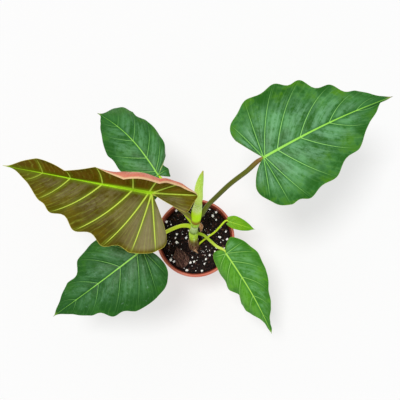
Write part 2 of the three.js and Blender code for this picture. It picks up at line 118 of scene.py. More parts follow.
def polar(radius: float, angle: float) -> tuple[float, float]:
    """Gives the x and y of a place round the middle."""
    return radius * math.cos(angle), radius * math.sin(angle)


def turned(x: "Wire | float", y: "Wire | float", heading: float) -> tuple:
    """Gives how far a place is along a heading, and how far to the left of it."""
    return x * math.cos(heading) + y * math.sin(heading), y * math.cos(heading) - x * math.sin(heading)


def catmull(a: float, b: float, c: float, d: float, t: float) -> float:
    """Gives the value between b and c on a smooth curve through all four."""
    return 0.5 * (2 * b + (c - a) * t + (2 * a - 5 * b + 4 * c - d) * t**2 + (3 * b - a - 3 * c + d) * t**3)


def arc_point(start: float, bend: float, length: float) -> tuple[float, float]:
    """Walks along an arc that bends evenly.

    Args:
        start: The arc's first slope, in radians.
        bend: The change of slope for each millimetre.
        length: The distance walked.

    Returns:
        How far it leads forward and how far up.
    """
    if abs(bend) < 1e-6:
        return length * math.cos(start), length * math.sin(start)
    end = start + bend * length
    return (math.sin(end) - math.sin(start)) / bend, (math.cos(start) - math.cos(end)) / bend


def linear(colour: Rgb) -> tuple[float, float, float, float]:
    """Turns an sRGB colour into the linear one that shaders take.

    Args:
        colour: The sRGB colour.

    Returns:
        Its red, green, blue and alpha.
    """
    parts = [c / 255 for c in colour]
    red, green, blue = (c / 12.92 if c < 0.04045 else ((c + 0.055) / 1.055) ** 2.4 for c in parts)
    return red, green, blue, 1.0


class Wire:
    """A shader socket that can stand in Python sums, each of which adds a Math node."""

    def __init__(self, graph: "Graph", socket: bpy.types.NodeSocket) -> None:
        """Keeps the graph and the socket."""
        self.graph = graph
        self.socket = socket

    def sum(self, operation: str, first: "Wire | float", second: "Wire | float" = 0.0) -> "Wire":
        """Adds a Math node for one operation on two values."""
        return self.graph.node("ShaderNodeMath", {"operation": operation}, {0: first, 1: second})

    def __add__(self, other: "Wire | float") -> "Wire":
        """Adds two values."""
        return self.sum("ADD", self, other)

    __radd__ = __add__

    def __sub__(self, other: "Wire | float") -> "Wire":
        """Takes a value away from this one."""
        return self.sum("SUBTRACT", self, other)

    def __rsub__(self, other: float) -> "Wire":
        """Takes this value away from a number."""
        return self.sum("SUBTRACT", other, self)

    def __mul__(self, other: "Wire | float") -> "Wire":
        """Multiplies two values."""
        return self.sum("MULTIPLY", self, other)

    __rmul__ = __mul__

    def __pow__(self, power: float) -> "Wire":
        """Raises this value to a power."""
        return self.sum("POWER", self, power)

    def cosine(self) -> "Wire":
        """Gives the cosine of this value times a full turn."""
        return self.sum("COSINE", self * TURN)

    def sine(self) -> "Wire":
        """Gives the sine of this value times a full turn."""
        return self.sum("SINE", self * TURN)

    def most(self, other: "Wire | float") -> "Wire":
        """Gives the bigger of two values."""
        return self.sum("MAXIMUM", self, other)

    def ease(self, low: "Wire | float", high: "Wire | float") -> "Wire":
        """Gives 0 at low and 1 at high, with a smooth start and end."""
        span = {"interpolation_type": "SMOOTHSTEP"}
        return self.graph.node("ShaderNodeMapRange", span, {"Value": self, "From Min": low, "From Max": high})


class Graph:
    """The node tree of one finish."""

    def __init__(self, name: str) -> None:
        """Starts a material of that name with its Principled shader.

        Args:
            name: The material's name.
        """
        self.material = bpy.data.materials.new(name)
        self.material.use_nodes = True
        self.tree = self.material.node_tree
        self.shader = self.tree.nodes["Principled BSDF"]

    def node(self, kind: str, settings: dict | None = None, sockets: dict | None = None,
             output: int | str = 0) -> Wire:
        """Adds a node of any type.

        Args:
            kind: The node's type.
            settings: Its settings, set before the sockets; "stops" holds a ramp's places and colours.
            sockets: The values or wires of its inputs.
            output: The output that is wanted.

        Returns:
            That output.
        """
        made = self.tree.nodes.new(kind)
        for name, value in (settings or {}).items():
            if name == "stops":
                self.set_stops(made.color_ramp, value)
            else:
                setattr(made, name, value)
        for key, value in (sockets or {}).items():
            self.feed(made.inputs[key], value)
        return Wire(self, made.outputs[output])

    def set_stops(self, ramp: bpy.types.ColorRamp, stops: list[tuple[float, Rgb]]) -> None:
        """Gives a colour ramp its stops.

        Args:
            ramp: The colour ramp.
            stops: The place and the colour of each stop.
        """
        while len(ramp.elements) < len(stops):
            ramp.elements.new(1.0)
        for element, (place, colour) in zip(ramp.elements, stops):
            element.position = place
            element.color = linear(colour)

    def feed(self, socket: bpy.types.NodeSocket, value: "Wire | float | tuple") -> None:
        """Links a wire to an input, or sets its value.

        Args:
            socket: The input.
            value: The wire that feeds it, or its value.
        """
        if isinstance(value, Wire):
            self.tree.links.new(value.socket, socket)
        else:
            socket.default_value = value

    def set(self, **values: "Wire | float | tuple") -> None:
        """Sets the shader's sockets, whose names are given with _ for a space."""
        for name, value in values.items():
            self.feed(self.shader.inputs[name.replace("_", " ")], value)

    def split(self, vector: Wire) -> tuple[Wire, Wire, Wire]:
        """Gives a vector's three parts.

        Args:
            vector: The vector.

        Returns:
            Its x, y and z.
        """
        first = self.node("ShaderNodeSeparateXYZ", {}, {0: vector})
        outputs = first.socket.node.outputs
        return first, Wire(self, outputs[1]), Wire(self, outputs[2])

    def pair(self, layer: str) -> tuple[Wire, Wire]:
        """Gives the two values that a UV map holds."""
        return self.split(self.node("ShaderNodeUVMap", {"uv_map": layer}))[:2]

    @cached_property
    def place(self) -> tuple[Wire, Wire, Wire]:
        """Gives the place on the object, in millimetres.

        Returns:
            Its x, y and z.
        """
        where = self.node("ShaderNodeTexCoord", output="Object")
        scaled = self.node("ShaderNodeVectorMath", {"operation": "SCALE"}, {0: where, "Scale": 1 / MM})
        return self.split(scaled)

    def noise(self, x: "Wire | float", y: "Wire | float", z: "Wire | float" = 0.0,
              detail: float = 2.0, roughness: float = 0.5) -> Wire:
        """Gives a soft random value round 0.5 that changes about once for each unit of x, y and z.

        Args:
            x: The first coordinate.
            y: The second one.
            z: The third one.
            detail: How many finer layers it has.
            roughness: How much the finer layers count.

        Returns:
            The random value.
        """
        where = self.node("ShaderNodeCombineXYZ", {}, {0: x, 1: y, 2: z})
        sockets = {"Vector": where, "Scale": 1.0, "Detail": detail, "Roughness": roughness}
        return self.node("ShaderNodeTexNoise", {"noise_dimensions": "3D"}, sockets)

    def clouds(self, scale: float, detail: float, roughness: float = 0.5) -> Wire:
        """Gives a soft random value over the object, whose lumps are 1 / scale millimetres across."""
        x, y, z = self.place
        return self.noise(x * scale, y * scale, z * scale, detail=detail, roughness=roughness)

    def mix(self, share: "Wire | float", first: "Wire | Rgb", second: "Wire | Rgb") -> Wire:
        """Mixes two colours.

        Args:
            share: How much of the second colour there is.
            first: The colour where the share is 0.
            second: The colour where it is 1.

        Returns:
            The mixed colour.
        """
        ends = [c if isinstance(c, Wire) else linear(c) for c in (first, second)]
        sockets = {0: share, 6: ends[0], 7: ends[1]}
        return self.node("ShaderNodeMix", {"data_type": "RGBA"}, sockets, output=2)

    def bump(self, height: Wire, distance: float) -> Wire:
        """Gives the normal of a relief whose height of 1 stands for a distance in millimetres."""
        sockets = {"Height": height, "Distance": distance * MM, "Strength": 1.0}
        return self.node("ShaderNodeBump", {}, sockets)


class BladeWires:
    """The coordinates of a blade's finish and the soft random values over it."""

    def __init__(self, g: Graph) -> None:
        """Reads the blade's UV maps and adds the noises, from the broadest to the finest.

        Args:
            g: The finish's node tree.
        """
        self.along, self.lateral = g.pair("Flat")
        self.vein, self.rib = g.pair("Veins")
        self.row, self.across = g.pair("Rows")
        self.margin, self.share = g.pair("Margin")
        self.between = 0.5 - self.row.cosine() * 0.5
        self.broad = self.flat_noise(g, 0.022, 3.1, 3, 0.5)
        self.patches = self.flat_noise(g, 0.045, 8.7, 4, 0.6)
        self.bands = g.noise(self.row * 4.5, self.across * 2.4, 6.2, detail=4, roughness=0.6)
        self.streaks = g.noise(self.row * 17, self.across * 2.6, 1.3, detail=5, roughness=0.65)
        self.mottle = self.flat_noise(g, 0.2, 5.3, 5, 0.7)
        self.grain = self.flat_noise(g, 0.9, 0.0, 3, 0.5)

    def flat_noise(self, g: Graph, scale: float, seed: float, detail: float, roughness: float) -> Wire:
        """Gives a noise over the unfolded blade, whose lumps are 1 / scale millimetres across."""
        return g.noise(self.along * scale, self.lateral * scale, seed, detail=detail, roughness=roughness)


@dataclass(frozen=True)
class LeafFace:
    """The finish of one face of a blade. Widths are half widths, in millimetres."""

    name: str
    deep: Rgb
    mid: Rgb
    fresh: Rgb
    # The colour of a painted sheen: a pale reflection painted on the crowns between the veins, standing for
    # gloss.
    painted_sheen: Rgb
    # beside is the colour of a band along the veins and the midrib: painted shade on most faces, and on the
    # bronze upper face a greener painted glow of light through the blade.
    beside: Rgb
    vein: Rgb
    rib: Rgb
    tip: Rgb
    margin: Rgb
    vein_width: float = 0.75
    rib_width: float = 1.5
    margin_width: float = 0.8
    painted_sheen_share: float = 0.6
    fresh_share: float = 0.8
    line_share: float = 0.1
    beside_share: float = 0.65
    beside_reach: float = 4.0
    vein_fade: float = 0.55
    glow_share: float = 0.0
    glint_share: float = 0.0
    lobe_painted_sheen: float = 0.0
    right_half: Rgb | None = None
    right_share: float = 0.6
    roughness: float = 0.4
    gloss: float = 0.22
    coat: float = 0.03

    LINES: ClassVar[int] = 6
    GLINT: ClassVar[Rgb] = (164, 196, 176)

    def tissue(self, g: Graph, at: BladeWires) -> Wire:
        """Gives the colour between the veins: deep and middle tones, fresh patches, a painted sheen, painted
        glints where set, and dark spots.

        Args:
            g: The finish's node tree.
            at: The blade's coordinates and random values.

        Returns:
            The colour.
        """
        colour = g.mix(at.broad.ease(0.38, 0.62), self.deep, self.mid)
        thin = at.patches.ease(0.46, 0.68) * (at.across.ease(0.35, 0.95) + 0.08) * self.fresh_share
        colour = g.mix(thin, colour, self.fresh)
        # Painted sheen: a pale reflection painted on the crowns of the panels, fading towards the margin, the
        # fresh patches and the tip.
        painted_sheen = (at.bands * 0.5 + at.mottle * 0.32 + at.streaks * 0.18).ease(0.38, 0.6)
        painted_sheen = painted_sheen * (at.between * 0.5 + 0.5) * (1 - at.across.ease(0.6, 0.95) * 0.9)
        painted_sheen = painted_sheen * (1 - thin * 0.8) * (1 - at.share.ease(0.6, 1.0) * 0.8)
        dark = (1 - at.bands * 0.5 - at.mottle * 0.5).ease(0.5, 0.64) * 0.6
        dark = dark.most(((1 - at.patches).ease(0.44, 0.6) * 0.6 + 0.3) * at.across.ease(0.45, 0.9))
        dark = dark.most(at.share.ease(0.5, 0.95) * 0.7)
        # More painted sheen over the basal lobes, where the dark spots mostly give way to it.
        if self.lobe_painted_sheen:
            lobe = at.share.ease(0.3, -0.06) * at.lateral.ease(4.0, 22.0) * (1 - at.across.ease(0.9, 1.0))
            painted_sheen = painted_sheen.most(lobe * (at.mottle * 0.6 + 0.7) * self.lobe_painted_sheen)
            dark = dark * (1 - lobe * 0.9)
        colour = g.mix(painted_sheen * self.painted_sheen_share, colour, self.painted_sheen)
        if self.right_half:
            colour = g.mix(at.lateral.ease(1.0, -4.0) * self.right_share, colour, self.right_half)
        colour = g.mix(dark, colour, self.deep)
        # Painted glints: small pale specks of reflection between the veins.
        if self.glint_share:
            colour = g.mix(at.mottle.ease(0.6, 0.7) * at.between * self.glint_share, colour, self.GLINT)
        return colour

    def main_veins(self, at: BladeWires) -> Wire:
        """Gives where the main veins run. They get thinner and fainter to the margin and the tip.

        Args:
            at: The blade's coordinates and random values.

        Returns:
            1 on a vein and 0 beside it.
        """
        width = (1.1 - at.across * 0.6) * (1 - at.share * 0.35) * self.vein_width
        fade = 1 - at.across.ease(self.vein_fade, 1.0) * 0.9
        return at.vein.ease(width * 1.5, width * 0.5) * fade * (1 - at.share.ease(0.4, 0.9) * 0.65)

    def midrib(self, at: BladeWires) -> Wire:
        """Gives where the midrib runs, with a soft glow beside it on a thin young blade.

        Args:
            at: The blade's coordinates and random values.

        Returns:
            1 on the midrib and 0 beside it.
        """
        width = (1.12 - at.share * 0.95) * self.rib_width
        middle = at.rib.ease(width * 1.4, width * 0.6) * (1 - at.share.ease(0.55, 0.95) * 0.5)
        if self.glow_share:
            glow = at.rib.ease(width * 2.8, width * 0.9) * (1 - at.share.ease(0.2, 0.8)) * self.glow_share
            middle = middle.most(glow)
        return middle

    def material(self) -> bpy.types.Material:
        """Builds the finish: tissue, fine lines, main veins, midrib, tip and margin.

        Returns:
            The material.
        """
        g = Graph(self.name)
        at = BladeWires(g)
        colour = self.tissue(g, at)
        fine = ((at.row * self.LINES + at.bands * 1.4).cosine() * 0.5 + 0.5) ** 8 * at.across.ease(0.05, 0.3)
        colour = g.mix(fine * at.streaks.ease(0.35, 0.6) * self.line_share, colour, self.vein)
        # Painted shade in a band beside the veins and the midrib, which is a greener painted glow on the
        # bronze upper face.
        near = at.vein.ease(self.beside_reach, 0.6) * (1 - at.across * 0.6)
        near = near.most(at.rib.ease(self.beside_reach * 1.3, 1.2)) * self.beside_share
        colour = g.mix(near, colour, self.beside)
        main = self.main_veins(at)
        colour = g.mix(main * 0.95, colour, self.vein)
        colour = g.mix(self.midrib(at), colour, self.rib)
        colour = g.mix(at.share.ease(0.93, 1.0), colour, self.tip)
        edge = at.margin.ease(self.margin_width, self.margin_width * 0.35)
        colour = g.mix(edge * 0.8, colour, self.margin)
        relief = at.mottle * 1.2 + at.streaks * 0.4 + at.bands * 0.8 - fine * 0.3 + main * 0.5
        g.set(Base_Color=colour, Roughness=self.roughness + at.grain * 0.16 - 0.08,
              Specular_IOR_Level=self.gloss, Coat_Weight=self.coat, Coat_Roughness=0.3,
              Normal=g.bump(relief, 0.5))
        return g.material


@dataclass(frozen=True)
class StalkFinish:
    """The finish of a stalk: a colour that changes from its base to its blade, with fine streaks."""

    name: str
    stops: tuple[tuple[float, Rgb], ...]
    streak: Rgb
    speck: Rgb
    # lit is the strength of a painted glow.
    lit: float = 0.15
    roughness: float = 0.36

    def material(self) -> bpy.types.Material:
        """Builds the finish.

        Returns:
            The material.
        """
        g = Graph(self.name)
        turn, along = g.pair("Tube")
        colour = g.node("ShaderNodeValToRGB", {"stops": self.stops}, {0: along})
        streaks = g.noise(turn.cosine() * 5, turn.sine() * 5, along * 3, detail=4)
        colour = g.mix(streaks.ease(0.5, 0.75) * 0.5, colour, self.streak)
        specks = g.clouds(0.9, detail=2)
        colour = g.mix(specks.ease(0.62, 0.72) * 0.45, colour, self.speck)
        # Painted glow: a weak emission of the stalk's own colour, standing for light shining through it.
        g.set(Base_Color=colour, Roughness=self.roughness + streaks * 0.12, Specular_IOR_Level=0.3,
              Emission_Color=colour, Emission_Strength=self.lit, Normal=g.bump(streaks + specks * 0.3, 0.3))
        return g.material


@dataclass(frozen=True)
class StemFinish:
    """The stem's finish: green and greyish nodes with a dark ring, along its height."""

    name: str = "stem skin"
    # The dark stop at 0.88 is painted shade: a dark ring under the raised node ring there.
    stops: tuple[tuple[float, Rgb], ...] = (
        (0.0, (84, 56, 34)), (0.36, (104, 78, 40)), (0.43, (134, 132, 48)), (0.48, (178, 214, 50)),
        (0.63, (184, 224, 58)), (0.67, (92, 118, 28)), (0.7, (140, 170, 88)), (0.85, (194, 216, 152)),
        (0.88, (88, 116, 34)), (0.91, (156, 202, 34)), (1.0, (150, 196, 28)),
    )
    streak: Rgb = (226, 238, 180)
    blotch: Rgb = (86, 104, 30)
    ring: Rgb = (90, 95, 40)
    # lit is the strength of a painted glow.
    lit: float = 0.22

    def material(self) -> bpy.types.Material:
        """Builds the finish.

        Returns:
            The material.
        """
        g = Graph(self.name)
        turn, along = g.pair("Tube")
        blotches = g.clouds(0.28, detail=4)
        streaks = g.noise(turn.cosine() * 6, turn.sine() * 6, along * 5, detail=4)
        colour = g.node("ShaderNodeValToRGB", {"stops": self.stops}, {0: along + (blotches - 0.5) * 0.06})
        colour = g.mix(streaks.ease(0.52, 0.72) * 0.5, colour, self.streak)
        colour = g.mix(blotches.ease(0.56, 0.68) * 0.5, colour, self.blotch)
        rings = ((along * 13).cosine() * 0.5 + 0.5) ** 12
        colour = g.mix(rings * 0.35, colour, self.ring)
        # Painted glow: a weak emission of the stem's own colour, standing for light shining through it.
        g.set(Base_Color=colour, Roughness=0.34 + streaks * 0.2, Specular_IOR_Level=0.35,
              Emission_Color=colour, Emission_Strength=self.lit,
              Normal=g.bump(streaks + blotches - rings, 0.5))
        return g.material


@dataclass(frozen=True)
class SheathFinish:
    """The finish of the young sheath and the rolled leaf: mottled pale green with fine ribs."""

    name: str
    stops: tuple[tuple[float, Rgb], ...]
    pale: Rgb
    pale_share: float
    spot: Rgb
    seam: Rgb
    pale_from: float = 0.05
    # lit is the strength of a painted glow.
    lit: float = 0.2

    def material(self) -> bpy.types.Material:
        """Builds the finish.

        Returns:
            The material.
        """
        g = Graph(self.name)
        turn, along = g.pair("Tube")
        x, y, z = g.place
        colour = g.node("ShaderNodeValToRGB", {"stops": self.stops}, {0: along})
        ribs = ((turn * 26).cosine() * 0.5 + 0.5) ** 3
        mottle = g.clouds(0.55, detail=4, roughness=0.65)
        fleck = g.noise(x * 1.1, y * 1.1, z * 0.5 + 4, detail=2)
        light = along.ease(self.pale_from, self.pale_from + 0.25)
        colour = g.mix(mottle.ease(0.42, 0.62) * self.pale_share * light, colour, self.pale)
        colour = g.mix(ribs * light * 0.22, colour, self.pale)
        colour = g.mix(fleck.ease(0.63, 0.7) * 0.55, colour, self.spot)
        colour = g.mix(turn.ease(0.9, 0.97) * 0.6, colour, self.seam)
        # Painted glow: a weak emission of the tissue's own colour, standing for light shining through it.
        g.set(Base_Color=colour, Roughness=0.36 + mottle * 0.15, Specular_IOR_Level=0.15,
              Emission_Color=colour, Emission_Strength=self.lit,
              Normal=g.bump(ribs * 0.6 + mottle * 0.4, 0.35))
        return g.material


@dataclass(frozen=True)
class DrySheathFinish:
    """Papery brown tissue with long fibres."""

    name: str = "dry sheath"
    dark: Rgb = (58, 34, 22)
    light: Rgb = (184, 144, 106)
    stain: Rgb = (84, 50, 32)
    # lit is the strength of a painted glow.
    lit: float = 0.12

    def material(self) -> bpy.types.Material:
        """Builds the finish.

        Returns:
            The material.
        """
        g = Graph(self.name)
        turn, along = g.pair("Tube")
        fibres = g.noise(turn * 38, along * 2.5, detail=4, roughness=0.7)
        stains = g.clouds(0.3, detail=3)
        colour = g.mix(fibres.ease(0.35, 0.7), self.dark, self.light)
        colour = g.mix(stains.ease(0.5, 0.68) * 0.6, colour, self.stain)
        # Painted glow: a weak emission of the dry tissue's own colour, standing for light shining through it.
        g.set(Base_Color=colour, Roughness=0.75 + fibres * 0.2, Specular_IOR_Level=0.2,
              Emission_Color=colour, Emission_Strength=self.lit, Normal=g.bump(fibres, 0.6))
        return g.material


@dataclass(frozen=True)
class PotPlastic:
    """Moulded terracotta-coloured plastic, a little scuffed, splashed with soil inside, and with painted
    shade on its inner wall.

    middle_radius is the radius of the wall's middle, carried down to the ground, and taper is how much it
    grows with each millimetre of height.
    """

    name: str = "terracotta plastic"
    base: Rgb = (212, 106, 82)
    worn: Rgb = (228, 144, 120)
    # inside is painted shade: the darker colour of the inner wall.
    inside: Rgb = (150, 62, 44)
    scuff: Rgb = (176, 84, 66)
    splash: Rgb = (44, 24, 18)
    dust: Rgb = (150, 108, 90)
    middle_radius: float = 39.95
    taper: float = 0.161

    def material(self, soil_top: float) -> bpy.types.Material:
        """Builds the finish.

        Args:
            soil_top: The soil's height, above which the inner wall is splashed.

        Returns:
            The material.
        """
        g = Graph(self.name)
        x, y, z = g.place
        level = g.node("ShaderNodeCombineXYZ", {}, {0: x, 1: y, 2: 0.0})
        radius = g.node("ShaderNodeVectorMath", {"operation": "LENGTH"}, {0: level}, output="Value")
        cloud = g.clouds(0.06, detail=4)
        speckle = g.clouds(1.6, detail=3)
        scuffs = g.noise(x * 0.25, y * 0.25, z * 1.4, detail=4, roughness=0.7)
        colour = g.mix(cloud.ease(0.4, 0.65) * 0.35, self.base, self.worn)
        colour = g.mix(speckle.ease(0.6, 0.75) * 0.18, colour, self.worn)
        colour = g.mix(scuffs.ease(0.6, 0.72) * 0.3, colour, self.scuff)
        # Painted shade: the inner wall is darkened from about 20 mm of height upwards.
        across = (radius - z * self.taper).ease(self.middle_radius + 0.35, self.middle_radius - 0.35)
        inner = across * z.ease(20, 40)
        colour = g.mix(inner, colour, self.inside)
        near_soil = z.ease(soil_top + 8, soil_top - 1)
        colour = g.mix(near_soil * speckle.ease(0.4, 0.55) * inner, colour, self.splash)
        colour = g.mix(scuffs.ease(0.5, 0.66) * z.ease(12, 1) * 0.5, colour, self.dust)
        g.set(Base_Color=colour, Roughness=0.34 + scuffs * 0.25, Normal=g.bump(speckle + scuffs, 0.12))
        return g.material


@dataclass(frozen=True)
class SoilFinish:
    """Moist potting mix: near black, with brown and reddish crumbs, and painted shade in the hollows of its
    relief.
    """

    name: str
    dark: Rgb = (14, 6, 7)
    brown: Rgb = (58, 34, 32)
    fibre: Rgb = (128, 92, 82)
    painted_hollow_shade: Rgb = (6, 3, 4)

    def material(self) -> bpy.types.Material:
        """Builds the finish.

        Returns:
            The material.
        """
        g = Graph(self.name)
        x, y, z = g.place
        lumps = g.clouds(0.32, detail=5, roughness=0.7)
        crumbs = g.clouds(0.9, detail=4, roughness=0.7)
        fibres = g.noise(x * 2.4 + y * 1.1, y * 0.5 - x * 0.2, z, detail=3)
        colour = g.mix(crumbs.ease(0.42, 0.66), self.dark, self.brown)
        colour = g.mix(fibres.ease(0.6, 0.7) * 0.7, colour, self.fibre)
        # Painted shade: near black where the bump relief is lowest.
        colour = g.mix(lumps.ease(0.58, 0.42) * 0.85, colour, self.painted_hollow_shade)
        g.set(Base_Color=colour, Roughness=0.66 + crumbs * 0.25, Specular_IOR_Level=0.3,
              Normal=g.bump(crumbs + lumps, 1.4))
        return g.material


@dataclass(frozen=True)
class PerliteFinish:
    """White foamed mineral with tiny grey pores, and a painted glow that keeps it bright in the shade of the
    leaves.
    """

    name: str = "perlite"
    white: Rgb = (253, 252, 248)
    pore: Rgb = (186, 176, 166)
    # lit is the strength of the painted glow.
    lit: float = 0.25

    def material(self) -> bpy.types.Material:
        """Builds the finish.

        Returns:
            The material.
        """
        g = Graph(self.name)
        pores = g.clouds(1.8, detail=3, roughness=0.7)
        colour = g.mix(pores.ease(0.55, 0.72) * 0.4, self.white, self.pore)
        # Painted glow: a weak white emission, though perlite gives no light.
        g.set(Base_Color=colour, Roughness=0.8 + pores * 0.1, Emission_Color=colour,
              Emission_Strength=self.lit, Normal=g.bump(pores, 0.5))
        return g.material


@dataclass(frozen=True)
class BarkFinish:
    """Reddish pine bark with a layered, cracked grain."""

    name: str
    dark: Rgb = (38, 18, 15)
    light: Rgb = (146, 104, 90)
    fleck: Rgb = (112, 50, 36)
    heading: float = 2.0

    def material(self) -> bpy.types.Material:
        """Builds the finish.

        Returns:
            The material.
        """
        g = Graph(self.name)
        x, y, z = g.place
        length, width = turned(x, y, self.heading)
        grain = g.noise(length * 0.12, width * 0.75, z * 0.5, detail=5, roughness=0.75)
        flecks = g.clouds(0.7, detail=4, roughness=0.7)
        colour = g.mix(grain.ease(0.42, 0.64), self.dark, self.light)
        colour = g.mix(flecks.ease(0.52, 0.66) * 0.6, colour, self.fleck)
        g.set(Base_Color=colour, Roughness=0.8 + flecks * 0.15, Specular_IOR_Level=0.3,
              Normal=g.bump(grain + flecks * 0.5, 1.6))
        return g.material


@dataclass(frozen=True)
class FloorFinish:
    """A pale sweep that glows a little, so that the shadows on it stay light."""

    name: str = "pale floor"
    colour: Rgb = (250, 250, 250)
    glow: float = 0.6
    glow_strength: float = 0.985

    def material(self) -> bpy.types.Material:
        """Builds the finish.

        Returns:
            The material.
        """
        g = Graph(self.name)
        g.set(Base_Color=linear(self.colour), Roughness=0.9, Specular_IOR_Level=0.0)
        glow = g.node("ShaderNodeEmission", {}, {"Strength": self.glow_strength})
        shader = Wire(g, g.shader.outputs[0])
        both = g.node("ShaderNodeMixShader", {}, {0: self.glow, 1: shader, 2: glow})
        g.feed(g.tree.nodes["Material Output"].inputs["Surface"], both)
        return g.material


def ring_noise(angle: float, size: float, z: float) -> float:
    """Gives a soft random value from -1 to 1 that closes on itself round a turn."""
    return noise.noise(Vector((*polar(size, angle), z)))


def lay_grid(cells: tuple[int, int], layer: str, place: Callable[[float, float], Vector],
             closed: bool = True) -> bmesh.types.BMesh:
    """Makes a flat grid and lays it over a surface.

    Args:
        cells: The number of cells each way.
        layer: The UV map that keeps the grid's own coordinates.
        place: Gives the point, in millimetres, for two coordinates from 0 to 1.
        closed: Whether the grid closes into a skin, whose faces then look outwards.

    Returns:
        The laid mesh, in metres, with the points that fall together merged.
    """
    bm = bmesh.new()
    bm.loops.layers.uv.new(layer)
    bmesh.ops.create_grid(bm, x_segments=cells[0], y_segments=cells[1], size=1.0, calc_uvs=True)
    for vertex in bm.verts:
        u = round((vertex.co.x + 1) / 2 * cells[0]) / cells[0]
        v = round((vertex.co.y + 1) / 2 * cells[1]) / cells[1]
        vertex.co = place(u, v) * MM
    bmesh.ops.remove_doubles(bm, verts=bm.verts, dist=MERGE)
    if closed:
        bmesh.ops.recalc_face_normals(bm, faces=bm.faces)
    return bm


def make_piece(bm: bmesh.types.BMesh, name: str, finishes: list[bpy.types.Material],
               nodes: tuple[str, ...] = ()) -> bpy.types.Object:
    """Turns a finished mesh into a piece that rides on the plant's one body.

    Args:
        bm: The mesh, which is freed.
        name: The piece's name.
        finishes: Its materials, in the order of the faces' material numbers.
        nodes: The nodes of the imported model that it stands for.

    Returns:
        The piece.
    """
    mesh = bpy.data.meshes.new(name)
    for face in bm.faces:
        face.smooth = True
    bm.to_mesh(mesh)
    bm.free()
    for finish in finishes:
        mesh.materials.append(finish)
    piece = bpy.data.objects.new(name, mesh)
    bpy.context.scene.collection.objects.link(piece)
    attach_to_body(piece, BODY)
    if nodes:
        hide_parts(*nodes)
    LOG.info("%s: %d faces", name, len(mesh.polygons))
    return piece


@dataclass(frozen=True)
class Rod:
    """A round rod along a smooth curve. Each row holds a point and the radius there."""

    rows: tuple[Row, ...]
    sides: int = 20
    steps: int = 60
    cap: float = 0.35

    CAP_ROWS: ClassVar[int] = 3
    FINE_STEPS: ClassVar[int] = 400

    def curve(self, t: float) -> tuple[Vector, float]:
        """Gives the point and the radius at share t of the rows.

        Args:
            t: The share of the way along the rows.

        Returns:
            The point and the radius.
        """
        last = len(self.rows) - 1
        low = min(int(t * last), last - 1)
        near = [self.rows[min(max(low + k, 0), last)] for k in (-1, 0, 1, 2)]
        values = [catmull(*(row[axis] for row in near), t * last - low) for axis in range(4)]
        return Vector(values[:3]), values[3]

    @cache
    def stations(self) -> list[tuple[Vector, float, Vector, Vector]]:
        """Gives evenly spaced points, each with its radius and two directions across the rod.

        Returns:
            Each station's point, radius and two directions.
        """
        fine = [self.curve(i / self.FINE_STEPS) for i in range(self.FINE_STEPS + 1)]
        length = [0.0]
        for (a, _), (b, _) in zip(fine, fine[1:]):
            length.append(length[-1] + (b - a).length)
        made, k = [], 0
        for i in range(self.steps + 1):
            while k < self.FINE_STEPS and length[k] < length[-1] * i / self.steps - 1e-9:
                k += 1
            made.append(fine[k])
        across = (made[1][0] - made[0][0]).orthogonal().normalized()
        stations = []
        for i, (point, radius) in enumerate(made):
            ahead = (made[min(i + 1, self.steps)][0] - made[max(i - 1, 0)][0]).normalized()
            across = (across - ahead * across.dot(ahead)).normalized()
            stations.append((point, radius, across.copy(), ahead.cross(across)))
        return stations

    def point(self, angle: float, along: float, grow: float = 1.0) -> Vector:
        """Gives a point of the rod's skin, with its radius times grow.

        Args:
            angle: The angle round the rod, in radians.
            along: The share of its length.
            grow: The factor on its radius.

        Returns:
            The point, in millimetres.
        """
        i = min(self.steps, max(0, round(along * self.steps)))
        centre, radius, across, other = self.stations()[i]
        return centre + (across * math.cos(angle) + other * math.sin(angle)) * radius * grow

    def mesh(self, shape: Callable[[float, float], float]) -> bmesh.types.BMesh:
        """Builds the rod as a closed skin with rounded ends.

        Args:
            shape: Gives the factor on the radius, for an angle and a share of the length.

        Returns:
            The mesh, with its coordinates in the UV map Tube.
        """
        caps = self.CAP_ROWS
        rows = self.steps + 2 * caps

        def place(u: float, v: float) -> Vector:
            """Gives a point of the skin; the first and last rows close the ends.

            Args:
                u: The share of the way round.
                v: The share of the way over the rows.

            Returns:
                The point, in millimetres.
            """
            row = round(v * rows)
            inner = min(max(row - caps, 0), self.steps)
            outside = max(caps - row, row - caps - self.steps, 0) / caps
            along = inner / self.steps
            grow = shape(u * TURN, along) * math.sqrt(max(0.0, 1 - outside**2))
            skin = self.point(u * TURN, along, grow)
            ahead = self.point(0, min(1, along + 0.02), 0) - self.point(0, max(0, along - 0.02), 0)
            bulge = self.stations()[inner][1] * self.cap * outside * (1 if row > caps else -1)
            return skin + ahead.normalized() * bulge

        bm = lay_grid((self.sides, rows), "Tube", place)
        layer = bm.loops.layers.uv["Tube"]
        for face in bm.faces:
            for loop in face.loops:
                loop[layer].uv.y = min(1, max(0, (loop[layer].uv.y * rows - caps) / self.steps))
        return bm


@dataclass(frozen=True)
class Slopes:
    """The slopes of a half that hasn't opened, for each vein, in degrees: beside the midrib, at the margin,
    the direction in which it rises, and how much more its outermost strip rolls in."""

    fold: tuple[float, ...]
    edge: tuple[float, ...]
    rise: tuple[float, ...]
    hem: tuple[float, ...] = (0,)

    def of_vein(self, number: int) -> tuple[float, ...]:
        """Gives the four slopes of one vein. A list that is too short goes on with its last one."""
        lists = (self.fold, self.edge, self.rise, self.hem)
        return tuple(values[min(number, len(values) - 1)] for values in lists)


@dataclass(frozen=True)
class StalkShape:
    """A stalk's path from the stem and its radii, to which its end under the blade is added."""

    path: tuple[Point, ...]
    radius: float
    end_radius: float
    base_radius: float


@dataclass(frozen=True)
class Rib:
    """A line across half a blade: its start on the midrib, its end on the margin and its slopes."""

    at: float
    x: float
    y: float
    dip: float
    fold: float
    edge: float
    rise: float
    hem: float
    lobe: float = 0.0
    between: float = 0.0


